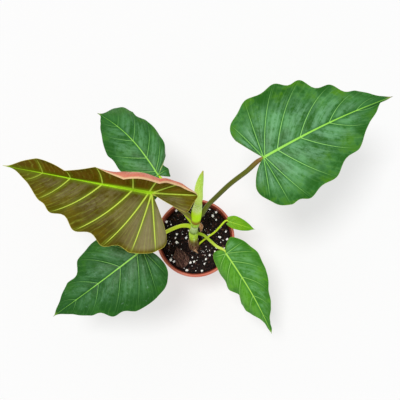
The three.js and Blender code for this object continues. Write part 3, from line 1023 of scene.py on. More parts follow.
@dataclass(frozen=True)
class Leaf:
    """A leaf, given in its own frame: x runs along the midrib from the stalk, y to the left of it.

    A vein row holds its start on the midrib, then its end on the left margin and how deep the margin dips
    before the next vein, and the same for the right margin. The first row is the edge of the notch. fold
    and edge are the slopes of a half beside the midrib and at its margin, in degrees, rising above 0. lobe is
    how far the two edges of the notch bulge, as a share of their length.
    """

    name: str
    attach: Point
    heading: float
    pitch: float
    droop: float
    length: float
    bow: float
    fold: float
    edge: float
    puff: float
    wave: float
    veins: tuple[tuple[float, ...], ...]
    stalk: StalkShape
    upper: LeafFace
    lower: LeafFace
    stalk_finish: StalkFinish
    slot: Slot
    stalk_slot: Slot
    lobe: tuple[float, float] = (0.0, 0.0)
    right: Slopes | None = None
    vein_relief: float = -0.25
    rib_relief: float = 0.35
    thickness: float = 0.6
    rows_per_vein: int = 16
    columns: int = 26
    crest: float = 318

    SWEEP: ClassVar[float] = 0.16
    HEM_WIDTH: ClassVar[float] = 9
    RIB_DEPTH: ClassVar[float] = 1.3
    VEIN_DEPTH: ClassVar[float] = 0.45
    CREST_SQUEEZE: ClassVar[float] = 0.4
    FAR: ClassVar[float] = 50.0

    @cache
    def axes(self) -> tuple[Vector, Vector, Vector]:
        """Gives the directions along the midrib, to its left, and out of the upper face.

        Returns:
            The three directions.
        """
        turn = Matrix.Rotation(math.radians(self.heading), 3, "Z")
        turn = turn @ Matrix.Rotation(-math.radians(self.pitch), 3, "Y")
        return turn.col[0], turn.col[1], turn.col[2]

    @cache
    def ribs(self, side: Side) -> list[Rib]:
        """Gives the lines of one half along its veins, with the tip as the last one.

        Args:
            side: The half of the blade.

        Returns:
            Its lines, from the notch to the tip.
        """
        column = 1 if side is Side.LEFT else 4
        own = self.right if side is Side.RIGHT else None
        rows = [(row[0], *row[column:column + 3]) for row in self.veins] + [(self.length, self.length, 0, 0)]
        made = []
        for i, (at, x, y, dip) in enumerate(rows):
            slopes = own.of_vein(i) if own else (self.fold, self.edge, 90 * side.value, 0)
            made.append(Rib(at, x, y, dip, *(math.radians(angle) for angle in slopes)))
        return made

    @cache
    def rib_at(self, side: Side, row: float) -> Rib:
        """Gives the line between two veins.

        Args:
            side: The half it is on.
            row: Its place, whole at each vein.

        Returns:
            The line, whose end follows the dips of the margin.
        """
        ribs = self.ribs(side)
        i = min(int(row), len(ribs) - 2)
        t = row - i
        b, c = ribs[i], ribs[i + 1]
        ax, ay = (ribs[i - 1].x, ribs[i - 1].y) if i > 0 else (0.0, 0.0)
        beyond = (2 * self.length - b.x, b.y)
        dx, dy = (ribs[i + 2].x, ribs[i + 2].y) if i + 2 < len(ribs) else beyond
        chord = math.hypot(c.x - b.x, c.y - b.y)
        dip = side.value * b.dip * (1 - math.cos(TURN * t)) / 2
        x = catmull(ax, b.x, c.x, dx, t) + dip * (c.y - b.y) / chord
        y = catmull(ay, b.y, c.y, dy, t) - dip * (c.x - b.x) / chord
        between = ("at", "fold", "edge", "rise", "hem")
        at, *angles = (lerp(getattr(b, key), getattr(c, key), t) for key in between)
        lobe = self.lobe[0 if side is Side.LEFT else 1] * max(0.0, 1 - row)
        return Rib(at, x, y, b.dip, *angles, lobe, t)

    def flat(self, side: Side, rib: Rib, across: float) -> tuple[float, float]:
        """Gives a point of a line in the unfolded blade, from the line's start.

        Args:
            side: The half of the blade.
            rib: The line.
            across: The share of the way along it.

        Returns:
            The x and y from its start.
        """
        dx, dy = rib.x - rib.at, rib.y
        sweep = self.SWEEP * max(0.0, dx / (math.hypot(dx, dy) + 1)) + rib.lobe
        bulge = sweep * 2 * across * (1 - across)
        return across * dx - side.value * bulge * dy, across * dy + side.value * bulge * dx

    def out_of(self, x: float, y: float, z: float) -> Vector:
        """Gives the place of a point that is x along the midrib, y to its left and z above it.

        Args:
            x: The distance along the midrib.
            y: The distance to its left.
            z: The height above it.

        Returns:
            The point, in millimetres.
        """
        bend = -math.radians(self.droop) / self.length if x > 0 else 0.0
        forward, height = arc_point(0.0, bend, x)
        sideways = self.bow * math.sin(math.pi * x / self.length) if x > 0 else 0.0
        along, left, up = self.axes()
        tilt = bend * x
        return (Vector(self.attach) + along * (forward - math.sin(tilt) * z) + left * (y + sideways)
                + up * (height + math.cos(tilt) * z))

    def point(self, side: Side, row: float, across: float) -> Vector:
        """Gives a point of the blade's middle surface.

        Args:
            side: The half it is on.
            row: The place between the veins, whole at each vein.
            across: The share of the way from the midrib to the margin.

        Returns:
            The point, in millimetres.
        """
        rib = self.rib_at(side, row)
        px, py = self.flat(side, rib, across)
        rx, ry = math.cos(rib.rise), math.sin(rib.rise)
        out = px * rx + py * ry
        reach = max(1.0, (rib.x - rib.at) * rx + rib.y * ry)
        bend = (rib.edge - rib.fold) / reach
        inner = min(out, reach - self.HEM_WIDTH) if rib.hem > 0 else out
        forward, height = arc_point(rib.fold, bend, inner)
        rolled = arc_point(rib.fold + bend * inner, bend + rib.hem / self.HEM_WIDTH, out - inner)
        forward, height = forward + rolled[0], height + rolled[1]
        share = min(1.0, (reach - 1) / 20)
        crown = max(0.0, math.sin(math.pi * across)) ** 0.8
        puff = self.puff * share * max(0.0, math.sin(math.pi * rib.between)) * crown
        wave = self.wave * share * across**2 * math.cos(TURN * rib.between)
        shift = forward - out
        return self.out_of(rib.at + px + shift * rx, py + shift * ry, height + puff - wave)

    def row_of(self, v: float) -> float:
        """Gives the place between the veins of a grid row, with more rows close to each vein.

        Args:
            v: The grid row, from 0 to 1.

        Returns:
            The place, whole at each vein.
        """
        row = v * len(self.veins)
        whole = min(int(row + 1e-6), len(self.veins) - 1)
        t = row - whole
        return round(whole + t - 0.75 * math.sin(TURN * t) / TURN, 5)

    def place_of(self, u: float) -> tuple[Side, float]:
        """Gives the half and the share across it of a grid column, with more columns near the midrib, and
        near a margin that rolls in.

        Args:
            u: The grid column, from 0 to 1.

        Returns:
            The half and the share.
        """
        side = Side.LEFT if u <= 0.5 else Side.RIGHT
        share = abs(2 * u - 1)
        rolled = side is Side.RIGHT and self.right and len(self.right.hem) > 1
        return side, (1 - math.cos(math.pi * share)) / 2 if rolled else share**1.6

    def off_line(self, side: Side, line: int, row: float, across: float) -> float:
        """Gives the distance in the unfolded blade from a point to one of the lines.

        Args:
            side: The half of the blade.
            line: The line's number.
            row: The point's place between the veins.
            across: The share of the way to the margin.

        Returns:
            The distance, in millimetres.
        """
        here = self.spread(side, row, across)
        x, y = self.spread(side, float(line), across)
        ax, ay = self.spread(side, float(line), max(0.0, across - 0.03))
        bx, by = self.spread(side, float(line), min(1.0, across + 0.03))
        tx, ty = bx - ax, by - ay
        return abs((here[0] - x) * ty - (here[1] - y) * tx) / max(1e-6, math.hypot(tx, ty))

    @cache
    def spread(self, side: Side, row: float, across: float) -> tuple[float, float]:
        """Gives a point's place in the unfolded blade.

        Args:
            side: The half of the blade.
            row: The point's place between the veins.
            across: The share of the way to the margin.

        Returns:
            How far along the midrib it is, and how far to the left.
        """
        rib = self.rib_at(side, row)
        px, py = self.flat(side, rib, across)
        return rib.at + px, py

    @cache
    def marks(self, side: Side, row: float, across: float) -> Marks:
        """Works out what the finish needs to know of a point.

        Args:
            side: The half it is on.
            row: Its place between the veins.
            across: The share of the way to the margin.

        Returns:
            The values of the UV maps: the place in the unfolded blade, the distances to the nearest vein and
            to the midrib, the row and the share across, and the distance to the margin with the share along.
        """
        x, y = self.spread(side, row, across)
        nearby = {k for k in (int(row), int(row) + 1) if 1 <= k < len(self.veins)}
        vein = min(self.off_line(side, k, row, across) for k in nearby) if nearby else self.FAR
        rib = self.rib_at(side, row)
        margin = (1 - across) * 0.85 * math.hypot(rib.x - rib.at, rib.y)
        if row < 1:
            margin = min(margin, self.off_line(side, 0, row, across))
        return {
            "Flat": (x, y),
            "Veins": (vein, abs(y) if x > 0 else math.hypot(x, y)),
            "Rows": (row, across),
            "Margin": (margin, x / self.length),
        }

    def relief(self, marks: Marks) -> float:
        """Gives how far the upper face rises over its veins and its midrib.

        Args:
            marks: What the finish knows of the point.

        Returns:
            The height, in millimetres.
        """
        vein, rib = marks["Veins"]
        across, share = marks["Rows"][1], max(0.0, marks["Margin"][1])
        at_vein = self.vein_relief * bell(vein, 1.1) * (1 - across**3)
        return at_vein + self.rib_relief * bell(rib, 1.5) * (1 - 0.8 * share)

    def depth(self, marks: Marks) -> float:
        """Gives how far the midrib and the veins stand out of the lower face.

        Args:
            marks: What the finish knows of the point.

        Returns:
            The depth, in millimetres.
        """
        vein, rib = marks["Veins"]
        across, share = marks["Rows"][1], max(0.0, marks["Margin"][1])
        size = min(1.0, self.length / 130)
        middle = self.RIB_DEPTH * (1 - 0.85 * share) * bell(rib, 1.7)
        return size * max(middle, self.VEIN_DEPTH * (1 - across) * bell(vein, 1.0))

    def write_marks(self, bm: bmesh.types.BMesh, cells: tuple[int, int]) -> dict[Vertex, Marks]:
        """Writes the UV maps that the finishes read.

        Args:
            bm: The blade's middle surface.
            cells: The number of its cells each way.

        Returns:
            The values at each point.
        """
        grid = bm.loops.layers.uv["Blade"]
        layers = {name: bm.loops.layers.uv.new(name) for name in ("Flat", "Veins", "Rows", "Margin")}
        known: dict[Vertex, Marks] = {}
        for face in bm.faces:
            middle = sum(loop[grid].uv.x for loop in face.loops) / len(face.loops)
            half = Side.LEFT if middle < 0.5 else Side.RIGHT
            for loop in face.loops:
                u = round(loop[grid].uv.x * cells[0]) / cells[0]
                v = round(loop[grid].uv.y * cells[1]) / cells[1]
                marks = self.marks(half, self.row_of(v), self.place_of(u)[1])
                known[loop.vert] = marks
                for name, layer in layers.items():
                    loop[layer].uv = marks[name]
        return known

    def thicken(self, bm: bmesh.types.BMesh, known: dict[Vertex, Marks]) -> dict[Vertex, Vertex]:
        """Moves the middle surface up to the upper face and adds the lower one.

        Args:
            bm: The blade's middle surface.
            known: The values at each point.

        Returns:
            The lower face's point for each one of the upper face.
        """
        bm.normal_update()
        normals = {vertex: vertex.normal.copy() for vertex in bm.verts}
        copied = bmesh.ops.duplicate(bm, geom=bm.faces[:])
        below = [face for face in copied["geom"] if isinstance(face, bmesh.types.BMFace)]
        twins = copied["vert_map"]
        for vertex, normal in normals.items():
            marks = known[vertex]
            thickness = self.thickness * (1 - 0.4 * marks["Rows"][1])
            centre = vertex.co.copy()
            vertex.co = centre + normal * (thickness / 2 + self.relief(marks)) * MM
            twins[vertex].co = centre - normal * (thickness / 2 + self.depth(marks)) * MM
        bmesh.ops.reverse_faces(bm, faces=below)
        for face in below:
            face.material_index = Face.LOWER.value
        return twins

    def close_margin(self, bm: bmesh.types.BMesh, twins: dict[Vertex, Vertex]) -> None:
        """Closes the margin between the two faces, with sharp edges.

        Args:
            bm: The blade's two faces.
            twins: The lower face's point for each one of the upper face.
        """
        rims = [edge for edge in bm.edges if edge.is_boundary]
        for edge in rims:
            edge.smooth = False
        above = [edge for edge in rims if edge.link_faces[0].material_index == Face.UPPER.value]
        upper = {vertex for edge in above for vertex in edge.verts}
        skirt = bmesh.ops.extrude_edge_only(bm, edges=above)["geom"]
        onto = {}
        for vertex in (part for part in skirt if isinstance(part, Vertex)):
            ends = (edge.other_vert(vertex) for edge in vertex.link_edges)
            onto[vertex] = twins[next(end for end in ends if end in upper)]
        bmesh.ops.weld_verts(bm, targetmap=onto)
        bmesh.ops.recalc_face_normals(bm, faces=bm.faces)

    def blade_mesh(self) -> bmesh.types.BMesh:
        """Builds the blade: the upper face, its copy below with raised veins, and the margin between.

        Returns:
            The mesh.
        """
        cells = (2 * self.columns, self.rows_per_vein * len(self.veins))

        def place(u: float, v: float) -> Vector:
            """Gives the middle surface's point of a grid place."""
            side, across = self.place_of(u)
            return self.point(side, self.row_of(v), across)

        bm = lay_grid(cells, "Blade", place, closed=False)
        known = self.write_marks(bm, cells)
        self.close_margin(bm, self.thicken(bm, known))
        for vertex in bm.verts:
            vertex.co.z -= max(0.0, vertex.co.z - self.crest * MM) * self.CREST_SQUEEZE
        return bm

    def stalk_rod(self) -> Rod:
        """Gives the stalk as a rod from the stem to the end just under the blade.

        Returns:
            The rod.
        """
        along, _, up = self.axes()
        attach = Vector(self.attach)
        end = self.stalk.end_radius
        drop = end * 0.7 + 0.4
        last = attach + along * end * 1.6 - up * drop * 0.55
        neck = attach - along * 4.5 * end - up * (drop + 1.6 * end)
        rows = []
        for i, point in enumerate(self.stalk.path):
            rows.append((*point, lerp(self.stalk.base_radius, self.stalk.radius, min(1.0, i / 2))))
        rows.append((*neck, self.stalk.radius * 0.95))
        rows.append((*last, end * 0.8))
        return Rod(tuple(rows), sides=20, steps=56)

    def build(self) -> None:
        """Makes the blade and the stalk and puts both on the plant."""
        faces = [self.upper.material(), self.lower.material()]
        make_piece(self.blade_mesh(), f"{self.name}_blade_fine", faces, (f"{self.name}_blade",))

        def section(angle: float, along: float) -> float:
            """Gives the stalk's radius factor: a flattened side, and soft swellings along it."""
            return 1 - 0.1 * max(0.0, math.sin(angle)) ** 2 + 0.03 * math.sin(along * 19 + angle)

        stalk = self.stalk_rod().mesh(section)
        make_piece(stalk, f"{self.name}_stalk_fine", [self.stalk_finish.material()],
                   (f"{self.name}_stalk",))


@dataclass(frozen=True)
class Pot:
    """A plain tapered nursery pot with a rolled lip, a foot ring, a hub and drain holes."""

    height: float = 105
    rim_radius: float = 60
    lip_height: float = 12
    lip_step: float = 2.6
    wall: float = 1.8
    base_radius: float = 42
    floor_top: float = 5.5
    foot_height: float = 2.5
    foot_width: float = 6
    hub_radius: float = 11
    segments: int = 96
    drains: int = 6
    drain_radius: float = 4.5
    drain_circle: float = 23
    drain_sides: int = 20
    soil_top: float = 93
    mouth_depth: float = 1.2

    WELD: ClassVar[float] = 0.02
    SHARP_FROM: ClassVar[float] = 40

    @property
    def neck(self) -> float:
        """The wall's outer radius under the lip."""
        return self.rim_radius - self.lip_step

    def inside(self, z: float) -> float:
        """Gives the inner radius at a height."""
        share = (z - self.floor_top) / (self.height - self.mouth_depth - self.floor_top)
        return lerp(self.base_radius - self.wall, self.neck - self.wall, share)

    def drain_centres(self) -> list[tuple[float, float]]:
        """Gives the middles of the drain holes."""
        return [polar(self.drain_circle, i / self.drains * TURN) for i in range(self.drains)]

    def spin(self, bm: bmesh.types.BMesh, profile: list[tuple[float, float]]) -> None:
        """Spins a profile of radii and heights into a closed round skin.

        Args:
            bm: The pot's mesh.
            profile: The radius and the height of each point.
        """
        points = [bm.verts.new((radius * MM, 0, height * MM)) for radius, height in profile]
        edges = [bm.edges.new(pair) for pair in zip(points, points[1:])]
        bmesh.ops.spin(bm, geom=points + edges, axis=(0, 0, 1), cent=(0, 0, 0), angle=TURN,
                       steps=self.segments, use_merge=True)

    def wall_profile(self) -> list[tuple[float, float]]:
        """Gives the wall's profile, from the floor's top edge inside, over the lip, to the foot ring.

        Returns:
            The radius and the height of each point.
        """
        top = self.neck - self.wall
        shoulder = self.height - self.lip_height
        inside = [(self.inside(z), z) for z in (self.floor_top + 1.5, 30, 60, 85, 96, self.height - 2.4)]
        lip = []
        for i in range(9):
            turn = math.pi * (1 - i / 8)
            lip.append((lerp(top, self.rim_radius, 0.5) + (self.rim_radius - top) / 2 * math.cos(turn),
                        self.height - 2.0 + 2.0 * math.sin(turn)))
        outside = [
            (self.rim_radius, self.height - 5), (self.rim_radius - 0.1, shoulder + 1.4),
            (self.rim_radius - 0.5, shoulder + 0.3), (self.rim_radius - 1.2, shoulder),
            (self.neck + 0.5, shoulder + 0.1), (self.neck, shoulder - 0.6),
        ]
        low = [(lerp(self.base_radius, self.neck, z / shoulder), z) for z in (70, 40, 12)]
        foot = self.base_radius - self.foot_width
        base = [
            (self.base_radius + 0.3, 2.2), (self.base_radius - 0.2, 0.8), (self.base_radius - 1.2, 0),
            (foot + 0.6, 0), (foot, 0.5), (foot - 0.9, self.foot_height),
        ]
        floor = [(self.base_radius - self.wall - 1.5, self.floor_top), (self.inside(self.floor_top) - 0.3, 6)]
        return floor + inside + lip[1:] + outside + low + base

    def add_floor(self, bm: bmesh.types.BMesh, radius: float, height: float, hub: bool) -> None:
        """Adds a round sheet of the floor with its drain holes.

        Args:
            bm: The pot's mesh.
            radius: The sheet's radius.
            height: Its height.
            hub: Whether the hub takes its middle.
        """
        rings = [(0.0, 0.0, radius, self.segments)]
        rings += [(x, y, self.drain_radius, self.drain_sides) for x, y in self.drain_centres()]
        if hub:
            rings.append((0.0, 0.0, self.hub_radius + 1, self.segments))
        edges = []
        for x, y, size, count in rings:
            where = Matrix.Translation((x * MM, y * MM, height * MM))
            made = bmesh.ops.create_circle(bm, segments=count, radius=size * MM, matrix=where)
            edges += {edge for vertex in made["verts"] for edge in vertex.link_edges}
        filled = bmesh.ops.triangle_fill(bm, edges=edges, use_beauty=True)
        faces = [face for face in filled["geom"] if isinstance(face, bmesh.types.BMFace)]
        holes = [f for f in faces if self.over_hole(f.calc_center_median() / MM, hub)]
        bmesh.ops.delete(bm, geom=holes, context="FACES_KEEP_BOUNDARY")

    def over_hole(self, centre: Vector, hub: bool) -> bool:
        """Says whether a point of the floor is in a drain hole, or under the hub.

        Args:
            centre: The point, in millimetres.
            hub: Whether the hub takes the middle.

        Returns:
            Whether the floor is open there.
        """
        if hub and centre.xy.length < self.hub_radius + 0.9:
            return True
        reach = self.drain_radius - 0.2
        return any((centre.xy - Vector(hole)).length < reach for hole in self.drain_centres())

    def build(self) -> None:
        """Makes the pot and puts it on the plant."""
        bm = bmesh.new()
        profile = self.wall_profile()
        self.spin(bm, profile)
        hub = [(0, 0), (self.hub_radius - 0.6, 0), (self.hub_radius, 0.5),
               (self.hub_radius + 1, self.foot_height)]
        self.spin(bm, hub)
        self.add_floor(bm, profile[0][0], self.floor_top, hub=False)
        self.add_floor(bm, profile[-1][0], self.foot_height, hub=True)
        bmesh.ops.remove_doubles(bm, verts=bm.verts, dist=self.WELD * MM)
        for hole in self.drain_centres():
            reach = self.drain_radius + 0.3
            edges = [edge for edge in bm.edges if edge.is_boundary
                     and all((v.co.xy / MM - Vector(hole)).length < reach for v in edge.verts)]
            bmesh.ops.bridge_loops(bm, edges=edges)
        bmesh.ops.recalc_face_normals(bm, faces=bm.faces)
        for edge in bm.edges:
            if len(edge.link_faces) == 2 and edge.calc_face_angle(0) > math.radians(self.SHARP_FROM):
                edge.smooth = False
        make_piece(bm, "pot_fine", [PotPlastic().material(self.soil_top)], ("pot",))


@dataclass(frozen=True)
class Soil:
    """The potting mix, with crumbs, bark and perlite grains on its top."""

    pot: Pot
    swell: float = 1.3
    gap: float = 0.35
    side_gap: float = 0.5
    loose_gap: float = 2.5
    crumbs: int = 1000
    seed: int = 41
    grains: tuple[tuple[float, float], ...] = (
        (32, 29), (22, 45), (32, 41), (47, 11), (49, -1), (44, -15), (-29, -6), (-14, 1), (-29, 7), (-45, 26),
        (-38, -33), (-33, -35), (-8, -37), (-2, -36), (-5, -29), (14, -39), (16, -32), (22, -26), (-13, -49),
        (10, -50), (-30, 44), (27, 35), (38, 2), (-20, -40), (30, -20),
    )
    small_grains: int = 260

    def height(self, x: float, y: float) -> float:
        """Gives the height of the soil's top at a place.

        Args:
            x: The distance to the right.
            y: The distance to the back.

        Returns:
            The height, in millimetres.
        """
        broad = math.sin(x * 0.11 + 0.7) * math.cos(y * 0.09 - 0.4)
        fine = math.sin(x * 0.31 + y * 0.17) * math.sin(y * 0.37 - x * 0.12 + 1)
        return self.pot.soil_top + self.swell * (0.6 * broad + 0.6 * fine)

    def lumpy(self, x: float, y: float) -> float:
        """Gives the height with the small lumps of the mix."""
        lumps = noise.noise(Vector((x * 0.22, y * 0.22, 2.0))) * 1.5
        return self.height(x, y) + lumps + noise.noise(Vector((x * 0.7, y * 0.7, 7.0))) * 0.7

    def body_mesh(self) -> bmesh.types.BMesh:
        """Builds the filling: its lumpy top, its side along the pot's wall, and its flat bottom.

        Returns:
            The mesh.
        """
        sides, rows, top_rows, side_rows = 120, 64, 46, 10
        edge = self.pot.inside(self.pot.soil_top) - self.side_gap
        bottom = self.pot.floor_top + self.gap

        def place(u: float, v: float) -> Vector:
            """Gives a point of the skin, from the top's middle outwards, down and back to the middle.

            Args:
                u: The share of the way round.
                v: The share of the way over the rows.

            Returns:
                The point, in millimetres.
            """
            row = round(v * rows)
            if row <= top_rows:
                radius = edge * row / top_rows
                x, y = polar(radius, u * TURN)
                return Vector((x, y, self.lumpy(x, y) - 1.5 * ease(edge - 3, edge, radius)))
            down = min(1.0, (row - top_rows) / side_rows)
            z = lerp(self.pot.soil_top - 2, bottom, down)
            inward = max(0, row - top_rows - side_rows) / (rows - top_rows - side_rows)
            radius = (self.pot.inside(z) - self.side_gap) * (1 - inward)
            return Vector((*polar(radius, u * TURN), z))

        return lay_grid((sides, rows), "Disc", place)

    def add_lump(self, bm: bmesh.types.BMesh, centre: Vector, size: Vector, turn: Vector, facets: int,
                 rough: float, kind: Loose) -> None:
        """Adds one irregular grain.

        Args:
            bm: The mesh it is added to.
            centre: Its middle.
            size: Its three half sizes.
            turn: How it is turned, in radians.
            facets: The subdivisions of the shape it starts from.
            rough: How uneven it is.
            kind: What it is made of.
        """
        spun = Matrix.Rotation(turn.z, 4, "Z") @ Matrix.Rotation(turn.x, 4, "X")
        spun = spun @ Matrix.Rotation(turn.y, 4, "Y")
        made = bmesh.ops.create_icosphere(bm, subdivisions=facets, radius=1.0)["verts"]
        for vertex in made:
            grow = 1 + rough * noise.noise(vertex.co * 1.7 + centre)
            local = Vector((vertex.co.x * size.x, vertex.co.y * size.y, vertex.co.z * size.z)) * grow
            vertex.co = (spun @ local + centre) * MM
        for face in {face for vertex in made for face in vertex.link_faces}:
            face.material_index = kind.value

    def top_mesh(self) -> bmesh.types.BMesh:
        """Builds the loose top: crumbs of mix and bark, then perlite grains.

        Returns:
            The mesh.
        """
        bm = bmesh.new()
        dice = random.Random(self.seed)
        crumb_kinds = (Loose.MIX, Loose.MIX, Loose.MIX, Loose.BARK)
        edge = self.pot.inside(self.pot.soil_top) - self.loose_gap
        for _ in range(self.crumbs):
            radius, angle = edge * math.sqrt(dice.random()), dice.random() * TURN
            long = 0.8 + 2.6 * dice.random() ** 2
            size = Vector((long, long * dice.uniform(0.35, 0.8), long * dice.uniform(0.25, 0.5)))
            x, y = polar(radius - long * 0.6, angle)
            turn = Vector((dice.uniform(-0.5, 0.5), dice.uniform(-0.4, 0.4), dice.random() * TURN))
            centre = Vector((x, y, self.lumpy(x, y) + size.z * 0.4))
            self.add_lump(bm, centre, size, turn, 1, 0.9, dice.choice(crumb_kinds))
        spots = [(x, y, dice.uniform(1.5, 2.5)) for x, y in self.grains]
        for _ in range(self.small_grains):
            radius, angle = (edge - 1) * math.sqrt(dice.random()), dice.random() * TURN
            spots.append((*polar(radius, angle), 0.35 + 0.9 * dice.random() ** 3))
        for x, y, long in spots:
            size = Vector((long, long * dice.uniform(0.7, 0.95), long * dice.uniform(0.6, 0.85)))
            turn = Vector((dice.uniform(-0.6, 0.6), dice.uniform(-0.6, 0.6), dice.random() * TURN))
            centre = Vector((x, y, self.lumpy(x, y) + size.z * 0.45))
            self.add_lump(bm, centre, size, turn, 2, 0.45, Loose.PERLITE)
        return bm

    def build(self) -> None:
        """Makes the filling and its loose top and puts both on the plant."""
        mix = SoilFinish("potting mix").material()
        make_piece(self.body_mesh(), "soil_fine", [mix], ("soil",))
        loose = [SoilFinish("crumbs", dark=(22, 11, 11), brown=(82, 52, 48)).material(),
                 BarkFinish("bark crumbs", dark=(46, 26, 24), light=(116, 80, 68)).material(),
                 PerliteFinish().material()]
        make_piece(self.top_mesh(), "soil_loose_top", loose)


@dataclass(frozen=True)
class BarkFlake:
    """The big flake of bark that lies on the soil in front of the stem."""

    centre: Point = (-21, -28.5, 97.5)
    outline: tuple[tuple[float, float], ...] = (
        (-8.4, 15.2), (-3.4, 12.1), (3.9, 6.9), (11.6, -1.1), (11.2, -9.3), (2.5, -18.1), (-2.5, -17.1),
        (-8.7, -12.5), (-9.3, -5.1), (-13.6, 0.4), (-9.9, 8.4))
    thickness: float = 5.6
    tilt: tuple[float, float] = (7, -6)
    heading: float = 2.06

    def reach(self, angle: float) -> float:
        """Gives the outline's distance from the middle in a direction.

        Args:
            angle: The direction, in radians.

        Returns:
            The distance, in millimetres.
        """
        corners = sorted((math.atan2(y, x) % TURN, math.hypot(x, y)) for x, y in self.outline)
        before = (corners[-1][0] - TURN, corners[-1][1])
        after = (corners[0][0] + TURN, corners[0][1])
        corners = [before, *corners, after]
        at = angle % TURN
        (a, ra), (b, rb) = next(pair for pair in zip(corners, corners[1:]) if pair[0][0] <= at <= pair[1][0])
        return ra * rb * math.sin(b - a) / (ra * math.sin(at - a) + rb * math.sin(b - at))

    def build(self) -> None:
        """Makes the flake and puts it on the plant."""
        tilt = Matrix.Rotation(math.radians(self.tilt[1]), 3, "Y")
        tilt = tilt @ Matrix.Rotation(math.radians(self.tilt[0]), 3, "X")
        sides, rows, half = 56, 40, 16

        def place(u: float, v: float) -> Vector:
            """Gives a point of the skin, from the top's middle over the edge to the middle below.

            Args:
                u: The share of the way round.
                v: The share of the way over the rows.

            Returns:
                The point, in millimetres.
            """
            row = round(v * rows)
            angle = u * TURN
            share = min(1.0, row / half) if row <= rows / 2 else min(1.0, (rows - row) / half)
            layer = math.cos(math.pi * min(1.0, max(0.0, (row - half) / (rows - 2 * half))))
            radius = self.reach(angle) * share * (1 + 0.1 * ring_noise(angle, 4, layer))
            x, y = polar(radius, angle)
            length, width = turned(x, y, self.heading)
            ridges = noise.noise(Vector((width * 0.5, length * 0.12, 3 + layer))) * 1.8 * (1 - share**4)
            flakes = noise.noise(Vector((width * 0.28, length * 0.08, 9)))
            steps = 1.1 * round(flakes * 3) / 1.5 * (1 - share**6)
            z = layer * self.thickness / 2 + (ridges + steps if layer > 0 else 0)
            return tilt @ Vector((x, y, z)) + Vector(self.centre)

        bark = BarkFinish("bark", light=(156, 116, 104), heading=self.heading).material()
        flake = lay_grid((sides, rows), "Disc", place)
        make_piece(flake, "bark_flake_fine", [bark], ("bark_flake",))


